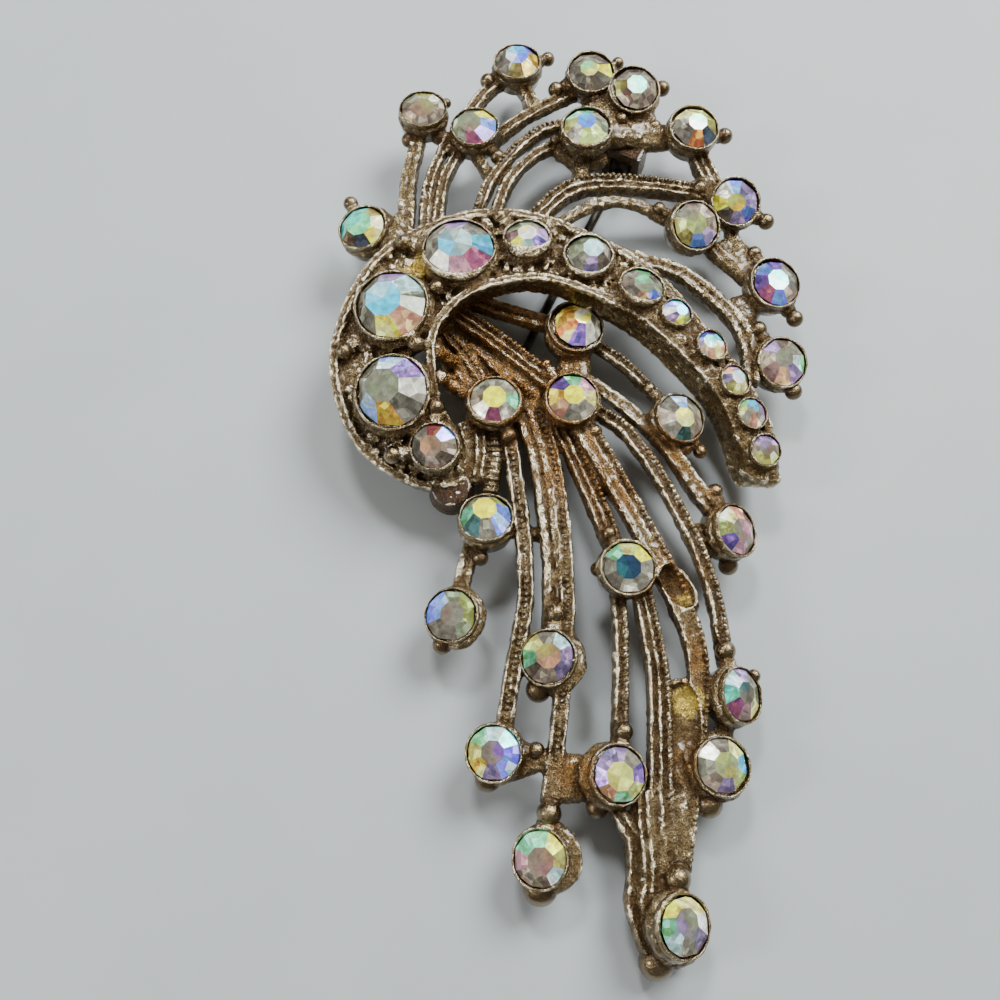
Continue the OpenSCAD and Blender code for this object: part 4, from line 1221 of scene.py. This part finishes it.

# The stones: foil-backed cut glass with a rainbow coating, each a flat eight-sided
# table, a crown of eight facets and a pointed back, pressed into its cup. Their colours
# are painted reflections, the coating's flashes, which the flaws in the glass break into
# thin shards of colour on every crown facet, with painted glints and sparkles.

# the colours that the coating flashes in, painted on the facets as reflections
WORDS = {
    "clear": (0.23, 0.22, 0.17), "smoke": (0.13, 0.115, 0.09), "taupe": (0.21, 0.16, 0.12),
    "mint": (0.20, 0.85, 0.42), "aqua": (0.05, 0.75, 0.62), "sky": (0.04, 0.66, 1.0),
    "blue": (0.03, 0.11, 0.62), "navy": (0.010, 0.036, 0.080), "teal": (0.02, 0.13, 0.14),
    "peri": (0.13, 0.24, 1.0), "lilac": (0.28, 0.19, 0.42), "violet": (0.16, 0.06, 0.42),
    "magenta": (0.30, 0.04, 0.15), "rose": (0.27, 0.14, 0.14), "pink": (0.75, 0.36, 0.48),
    "peach": (0.62, 0.32, 0.17), "tan": (0.28, 0.17, 0.10), "orange": (0.55, 0.19, 0.015),
    "gold": (0.68, 0.44, 0.02), "yellow": (1.0, 0.95, 0.02), "lemon": (1.0, 1.0, 0.25),
    "olive": (0.36, 0.33, 0.07), "sage": (0.21, 0.26, 0.15), "lime": (0.46, 0.56, 0.13),
    "white": (1.0, 1.0, 0.98), "brown": (0.10, 0.05, 0.025), "red": (0.20, 0.03, 0.012),
    "ice": (0.60, 1.0, 1.0),
}
# the table's share of the width, its middle (shares of the radius to the right and up),
# its colours, then the crown's colours from the right round by the top, all painted
# reflections of the coating
STONES = by_stone(
    crescent=[
        (0.52, -0.1, 0, "ice clear sky clear", "sky clear lilac clear clear clear pink magenta"),
        (0.54, -0.18, 0.08, "sky ice sky sky", "sage ice lilac clear clear clear yellow peach"),
        (0.5, -0.19, 0.12, "sage clear sage clear", "clear violet peri clear clear peri gold clear"),
        (0.5, -0.12, -0.05, "tan tan peach taupe", "taupe peri red smoke smoke smoke taupe taupe"),
        (0.45, 0, 0, "white lemon white white", "lilac clear sage sage rose yellow teal violet"),
        (0.48, 0.14, 0.15, "ice", "clear clear sage sage sage clear lilac taupe"),
        (0.5, 0, -0.15, "clear mint clear sage", "sage clear mint clear taupe smoke peach peri"),
        (0.42, 0.28, 0.12, "sky", "lilac peri sky peri white lilac yellow lime"),
        (0.5, -0.25, 0.12, "aqua ice", "peach sky violet blue lilac peach peach lemon"),
        (0.5, 0.1, 0.15, "ice white", "sage clear lilac peach lilac olive lemon lemon"),
        (0.46, -0.1, 0.35, "sky clear", "lilac lilac peri mint lemon clear peach clear"),
        (0.52, -0.1, 0.1, "taupe lilac clear taupe", "taupe lilac lilac lilac taupe lemon lemon lime")],
    upper=[
        (0.6, -0.05, 0.04, "mint aqua mint mint", "olive olive aqua aqua aqua brown navy yellow"),
        (0.56, 0, -0.2, "sage olive sage tan tan taupe tan tan",
         "taupe clear olive sage taupe tan taupe taupe"),
        (0.56, -0.25, 0, "sage sage clear sage sage clear tan clear",
         "peri yellow clear sage sage sage magenta violet"),
        (0.56, 0, 0.14, "peri sky white peri", "gold peri lilac smoke smoke smoke olive gold"),
        (0.42, -0.1, 0, "lime mint lime lemon", "yellow smoke smoke smoke smoke smoke taupe smoke"),
        (0.48, 0, 0.04, "aqua mint ice mint", "taupe smoke smoke smoke olive brown taupe taupe"),
        (0.44, 0, 0.14, "peri sky peri peri", "sage clear mint mint lemon smoke lime lime"),
        (0.44, 0.05, 0.12, "mint white", "olive olive olive lemon smoke smoke orange navy"),
        (0.42, -0.05, -0.1, "olive lime olive gold", "lilac lilac peri clear yellow taupe lilac peri"),
        (0.5, -0.1, 0, "lime clear lime sage", "taupe taupe taupe clear lemon olive peri lilac"),
        (0.48, -0.05, 0.03, "aqua ice", "clear clear violet peri violet magenta peri taupe"),
        (0.42, -0.07, 0.12, "clear sage clear clear", "mint clear taupe lilac taupe rose peach lilac")],
    lower=[
        (0.38, 0.15, 0.3, "lemon white lemon yellow", "clear white lemon gold gold orange violet clear"),
        (0.5, 0, 0.03, "yellow", "mint clear clear clear taupe taupe magenta smoke"),
        (0.44, 0.05, 0.03, "yellow", "lemon pink mint violet gold peach clear clear"),
        (0.44, 0.04, -0.08, "olive yellow olive lime", "taupe clear peri clear taupe clear teal taupe"),
        (0.5, -0.04, 0.25, "yellow", "peri lime clear sage mint teal clear blue"),
        (0.5, 0.15, 0, "clear taupe clear", "lime lime sage peri peri smoke smoke sage"),
        (0.48, 0, -0.05, "pink clear clear taupe", "pink rose peach lemon lime violet pink clear"),
        (0.52, -0.08, -0.05, "navy navy teal navy", "clear yellow lemon mint clear clear clear clear"),
        (0.5, 0.1, 0, "tan olive tan peach", "lilac ice clear lemon mint taupe taupe lilac"),
        (0.46, 0, 0, "violet taupe smoke taupe", "blue aqua ice mint lemon gold lilac peri"),
        (0.56, -0.12, -0.08, "lime lemon olive lemon", "violet clear lilac lilac violet peach mint lime"),
        (0.44, -0.05, 0.04, "smoke teal clear smoke", "sage clear lilac ice aqua magenta rose lemon"),
        (0.5, 0.04, 0, "sage lime sage olive", "sky lemon smoke clear clear taupe lilac lime"),
        (0.52, 0.1, -0.08, "tan taupe taupe rose", "olive yellow mint mint pink taupe taupe ice"),
        (0.5, -0.12, 0.18, "sage clear lilac clear", "white lemon gold yellow mint ice clear lilac")])
# how milky the crown's colours are, the shards that a crown facet is broken into, and
# the facets round a table
MILK = 0.2
SHARDS = 2
FACETS = 8
# how far a stone may be turned in its cup (radians), where a crown facet breaks on its
# way down and along its edge (shares), and how a table facet's painted brightness varies
TWIST = 0.1
BREAKS_DOWN = (0.3, 0.75)
BREAKS_ALONG = (0.12, 0.88)
TABLE_FLASHES = (0.94, 1.06)
# how calm the colour is on the table, the crown and the back
TABLE_CALM, CROWN_CALM, BACK_CALM = 0.8, 0.3, 0.0
# how brightly a whole crown facet flashes, and each shard of it, as painted reflections
FACET_FLASHES = (0.6, 0.8, 0.95, 1.1, 1.4, 2.0)
SHARD_FLASHES = (0.72, 0.9, 1.0, 1.05, 1.2, 1.8)
# a shard brighter than this has a painted white glint over its colour
GLINT_FROM = 2
GLINT = 0.2
# chips, flaws and cracks per metre of glass, a crack's width (share of its cell), how
# deep the flaws go (m)
CHIPS = 1700.0
FLAWS = 1800.0
CRACKS = 1100.0
CRACK_W = 0.055
FLAW_DEPTH = 0.00005
# how much a chip brightens and darkens the colour and shifts its hue, how much the flaws
# and the painted glints along the cracks brighten it, and which chips carry a painted
# sparkle, and how bright
CHIP_LIGHT, CHIP_DARK, CHIP_HUE = 1.1, 0.35, 0.12
FLAW_LIGHT = 1.3
CRACK_LIGHT, CRACK_DARK, CRACK_CALM = 2.0, 0.35, 1.15
SPARKS = (0.88, 0.96)
SPARK_LIGHT = 0.9


def stone_material():
    material, wire = new_material("rainbow_crystal")
    facet = painted(wire, "facet", out="Color")
    calm = painted(wire, "calm")
    place = place_on(wire)
    chips = wire.node("ShaderNodeTexVoronoi", {"feature": "F1"}, {
        "Vector": place, "Scale": CHIPS, "Randomness": 1.0}, out="Color")
    chip = wire.node("ShaderNodeSeparateColor", {}, {"Color": chips}, out="Red")
    flaws = grain(wire, place, FLAWS, 5.0)
    cracks = wire.node("ShaderNodeTexVoronoi", {"feature": "DISTANCE_TO_EDGE"}, {
        "Vector": place, "Scale": CRACKS, "Randomness": 1.0}, out="Distance")
    # painted glints along the cracks, and painted sparkles on some chips
    crack_glint = 1 - cracks.between(0.0, CRACK_W)
    shade = ((chip * chip * CHIP_LIGHT - CHIP_DARK) * (1 - calm) + (flaws - 0.5) * FLAW_LIGHT + 1
             + crack_glint * (flaws - CRACK_DARK) * CRACK_LIGHT * (CRACK_CALM - calm)
             + chip.between(*SPARKS) * (1 - calm) * SPARK_LIGHT)
    tint = wire.node("ShaderNodeHueSaturation", {}, {
        "Hue": (chip - 0.5) * (1 - calm) * CHIP_HUE + 0.5, "Saturation": 1.0, "Value": shade,
        "Color": facet})
    finish_material(wire, {
        "Base Color": tint, "Metallic": 0.2, "Roughness": 0.12, "Coat Weight": 0.3,
        "Coat Roughness": 0.03, "IOR": 1.5, "Normal": dented(wire, 0.25, FLAW_DEPTH, flaws)})
    return material


crystal_finish = stone_material()


def spread(words):
    """One colour for each facet, the words shared out evenly over them."""
    words = words.split()
    return np.array([WORDS[words[i * len(words) // FACETS]] for i in range(FACETS)])


class Cut:
    """Facets of one stone with a colour each and how calm that colour is."""

    def __init__(self):
        self.points = []
        self.faces = []
        self.colours = []
        self.calm = []

    def point(self, where):
        self.points.append(tuple(where))
        return len(self.points) - 1

    def facet(self, corners, colour, calm):
        self.faces.append(corners)
        self.colours.append(np.clip(colour, 0, 1))
        self.calm.append(calm)


def cut_stone(name, table_share, shift_x, shift_y, table_words, crown_words):
    width = SETTINGS[name][2]
    r = width / 2
    crown_h = width * CROWN_SHARE
    table_r = r * table_share
    half_step = math.pi / FACETS
    steep = crown_h * r / (r - table_r * math.cos(half_step))
    twist = rng.uniform(-TWIST, TWIST) + half_step
    cut = Cut()

    def at(i, radius, height, right=0.0, up=0.0):
        """A point at corner i of eight or between two: facet 0 lies at the right."""
        angle = twist + 2 * half_step * (i - 1)
        return radius * math.cos(angle) + right, radius * math.sin(angle) + up, height

    def girdle(i):
        return at(i, r, steep * (1 - math.cos(2 * half_step * (i % 1 - 0.5))))
    middle = cut.point((shift_x * r, shift_y * r, crown_h))
    tip = cut.point((0, 0, -width * BACK_SHARE))
    table_row = [cut.point(at(i, table_r, crown_h, shift_x * r, shift_y * r)) for i in range(FACETS)]
    girdle_row = [cut.point(girdle(i)) for i in range(FACETS)]

    def part_way(top, low):
        """A point on the crown between its two ends."""
        top, low = np.array(cut.points[top]), np.array(cut.points[low])
        return cut.point(top + (low - top) * rng.uniform(*BREAKS_DOWN))
    mid_row = [part_way(table_row[i], girdle_row[i]) for i in range(FACETS)]
    table_colours = spread(table_words)
    table_colours = (np.roll(table_colours, 1, axis=0) + table_colours * 2
                     + np.roll(table_colours, -1, axis=0)) / 4
    crown_colours = spread(crown_words) * (1 - MILK) + np.array(WORDS["clear"]) * MILK
    for i in range(FACETS):
        j = (i + 1) % FACETS
        cut.facet((middle, table_row[i], table_row[j]),
                  table_colours[i] * rng.uniform(*TABLE_FLASHES), TABLE_CALM)
        start, end = (np.array(cut.points[table_row[k]]) for k in (i, j))
        shares = np.sort(rng.uniform(*BREAKS_ALONG, SHARDS - 1))
        tops = [table_row[i], *(cut.point(start + (end - start) * s) for s in shares), table_row[j]]
        lows = [girdle_row[i], *(cut.point(girdle(i + s)) for s in shares), girdle_row[j]]
        mids = [mid_row[i], *(part_way(t, g) for t, g in zip(tops[1:-1], lows[1:-1])), mid_row[j]]
        # each facet and shard flashes with a painted brightness, the brightest with a painted glint
        facet_flash = rng.choice(FACET_FLASHES)
        for k in range(SHARDS):
            for upper, lower in ((tops, mids), (mids, lows)):
                flash = facet_flash * rng.choice(SHARD_FLASHES)
                colour = crown_colours[i] * flash + (GLINT if flash > GLINT_FROM else 0)
                cut.facet((upper[k], lower[k], lower[k + 1], upper[k + 1]), colour, CROWN_CALM)
            cut.facet((lows[k], tip, lows[k + 1]), np.array(WORDS["smoke"]), BACK_CALM)
    return cut


for name, row in STONES.items():
    centre, axes, width = SETTINGS[name]
    cut = cut_stone(name, *row)
    made = plain_object(name + "_cut", (np.array(cut.points) @ axes + centre) * MM, cut.faces)
    bm = bmesh.new()
    bm.from_mesh(made.data)
    bmesh.ops.recalc_face_normals(bm, faces=bm.faces)
    bm.to_mesh(made.data)
    bm.free()
    owner = np.repeat(np.arange(len(cut.faces)), [p.loop_total for p in made.data.polygons])
    shades = np.column_stack((cut.colours, np.ones(len(cut.faces))))[owner]
    made.data.attributes.new("facet", "FLOAT_COLOR", "CORNER").data.foreach_set(
        "color", shades.astype(np.float32).ravel())
    made.data.attributes.new("calm", "FLOAT", "CORNER").data.foreach_set(
        "value", np.array(cut.calm, np.float32)[owner])
    made.data.materials.append(crystal_finish)
    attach(made, "root")
    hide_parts(name)

# The pin: a plain steel wire, dark with age, that runs from the hinge to the catch
# under the brooch. Its shape is that of the solid, and only its finish is made here.

TARNISHED = (0.02, 0.017, 0.013, 1)
BARE_STEEL = (0.10, 0.085, 0.065, 1)
pin_material, pin_wire = new_material("tarnished_steel")
tarnish = grain(pin_wire, place_on(pin_wire), 900.0, 5.0, 0.6)
finish_material(pin_wire, {
    "Base Color": tarnish.between(0.35, 0.7).blend(TARNISHED, BARE_STEEL),
    "Metallic": 0.9, "Roughness": tarnish * 0.3 + 0.25,
    "Normal": dented(pin_wire, 0.4, 0.00004, tarnish)})
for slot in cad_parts["pin_stem"].material_slots:
    slot.material = pin_material

# The pale tabletop it lies on, smooth and a little smudged, under one large soft lamp at
# upper right, a small one above and a weak fill from the left. The camera stands over
# the brooch and leans back.

# half the tabletop's side (m), its two greys, the room's light below and above, and how
# far the camera leans (degrees)
TABLETOP_HALF = 0.6
TABLETOP_GREY = (0.455, 0.487, 0.495, 1)
TABLETOP_LIGHT = (0.475, 0.507, 0.515, 1)
ROOM_LOW = (0.14, 0.128, 0.112, 1)
ROOM_HIGH = (0.32, 0.305, 0.285, 1)
LEAN = 18
floor_material, floor_wire = new_material("pale_table")
smudge = grain(floor_wire, place_on(floor_wire), 60.0, 4.0)
finish_material(floor_wire, {
    "Base Color": smudge.between(0.3, 0.7).blend(TABLETOP_GREY, TABLETOP_LIGHT),
    "Roughness": 0.6})
floor = plain_object("table_top", [(x * TABLETOP_HALF, y * TABLETOP_HALF, 0)
                                   for x, y in ((-1, -1), (1, -1), (1, 1), (-1, 1))], [(0, 1, 2, 3)])
floor.data.materials.append(floor_material)


def soft_lamp(name, at, size, power, colour=(1, 1, 1)):
    """A round lamp of this width (m) and power (W) that looks at the brooch's middle."""
    light = bpy.data.lights.new(name, "AREA")
    light.shape = "DISK"
    light.size = size
    light.energy = power
    light.color = colour
    lamp = bpy.data.objects.new(name, light)
    lamp.location = at
    lamp.rotation_euler = Vector(at).to_track_quat("Z", "Y").to_euler()
    bpy.context.scene.collection.objects.link(lamp)


soft_lamp("window", (0.21, 0.225, 0.33), 0.24, 3.0, (0.97, 1.0, 1.0))
soft_lamp("ceiling", (-0.05, 0.20, 0.30), 0.07, 0.7, (0.97, 0.99, 1.0))
soft_lamp("fill", (-0.25, -0.05, 0.18), 0.08, 0.35)
world = bpy.data.worlds.new("soft_room")
world.use_nodes = True
world_wire = Wire(world.node_tree)
direction = world_wire.node("ShaderNodeTexCoord", {}, {}, out="Generated")
height = world_wire.node("ShaderNodeSeparateXYZ", {}, {"Vector": direction}, out="Z")
world.node_tree.links.new(height.between(0.1, 0.95).blend(ROOM_LOW, ROOM_HIGH).socket,
                          world.node_tree.nodes["Background"].inputs["Color"])
bpy.context.scene.world = world

camera_data = bpy.data.cameras.new("camera")
camera_data.lens = 36
camera_data.sensor_width = 36
camera_data.clip_start = 0.005
camera = bpy.data.objects.new("camera", camera_data)
camera.location = (-0.0065, -0.0324, 0.090)
camera.rotation_euler = (math.radians(LEAN), 0, 0)
bpy.context.scene.collection.objects.link(camera)
bpy.context.scene.camera = camera
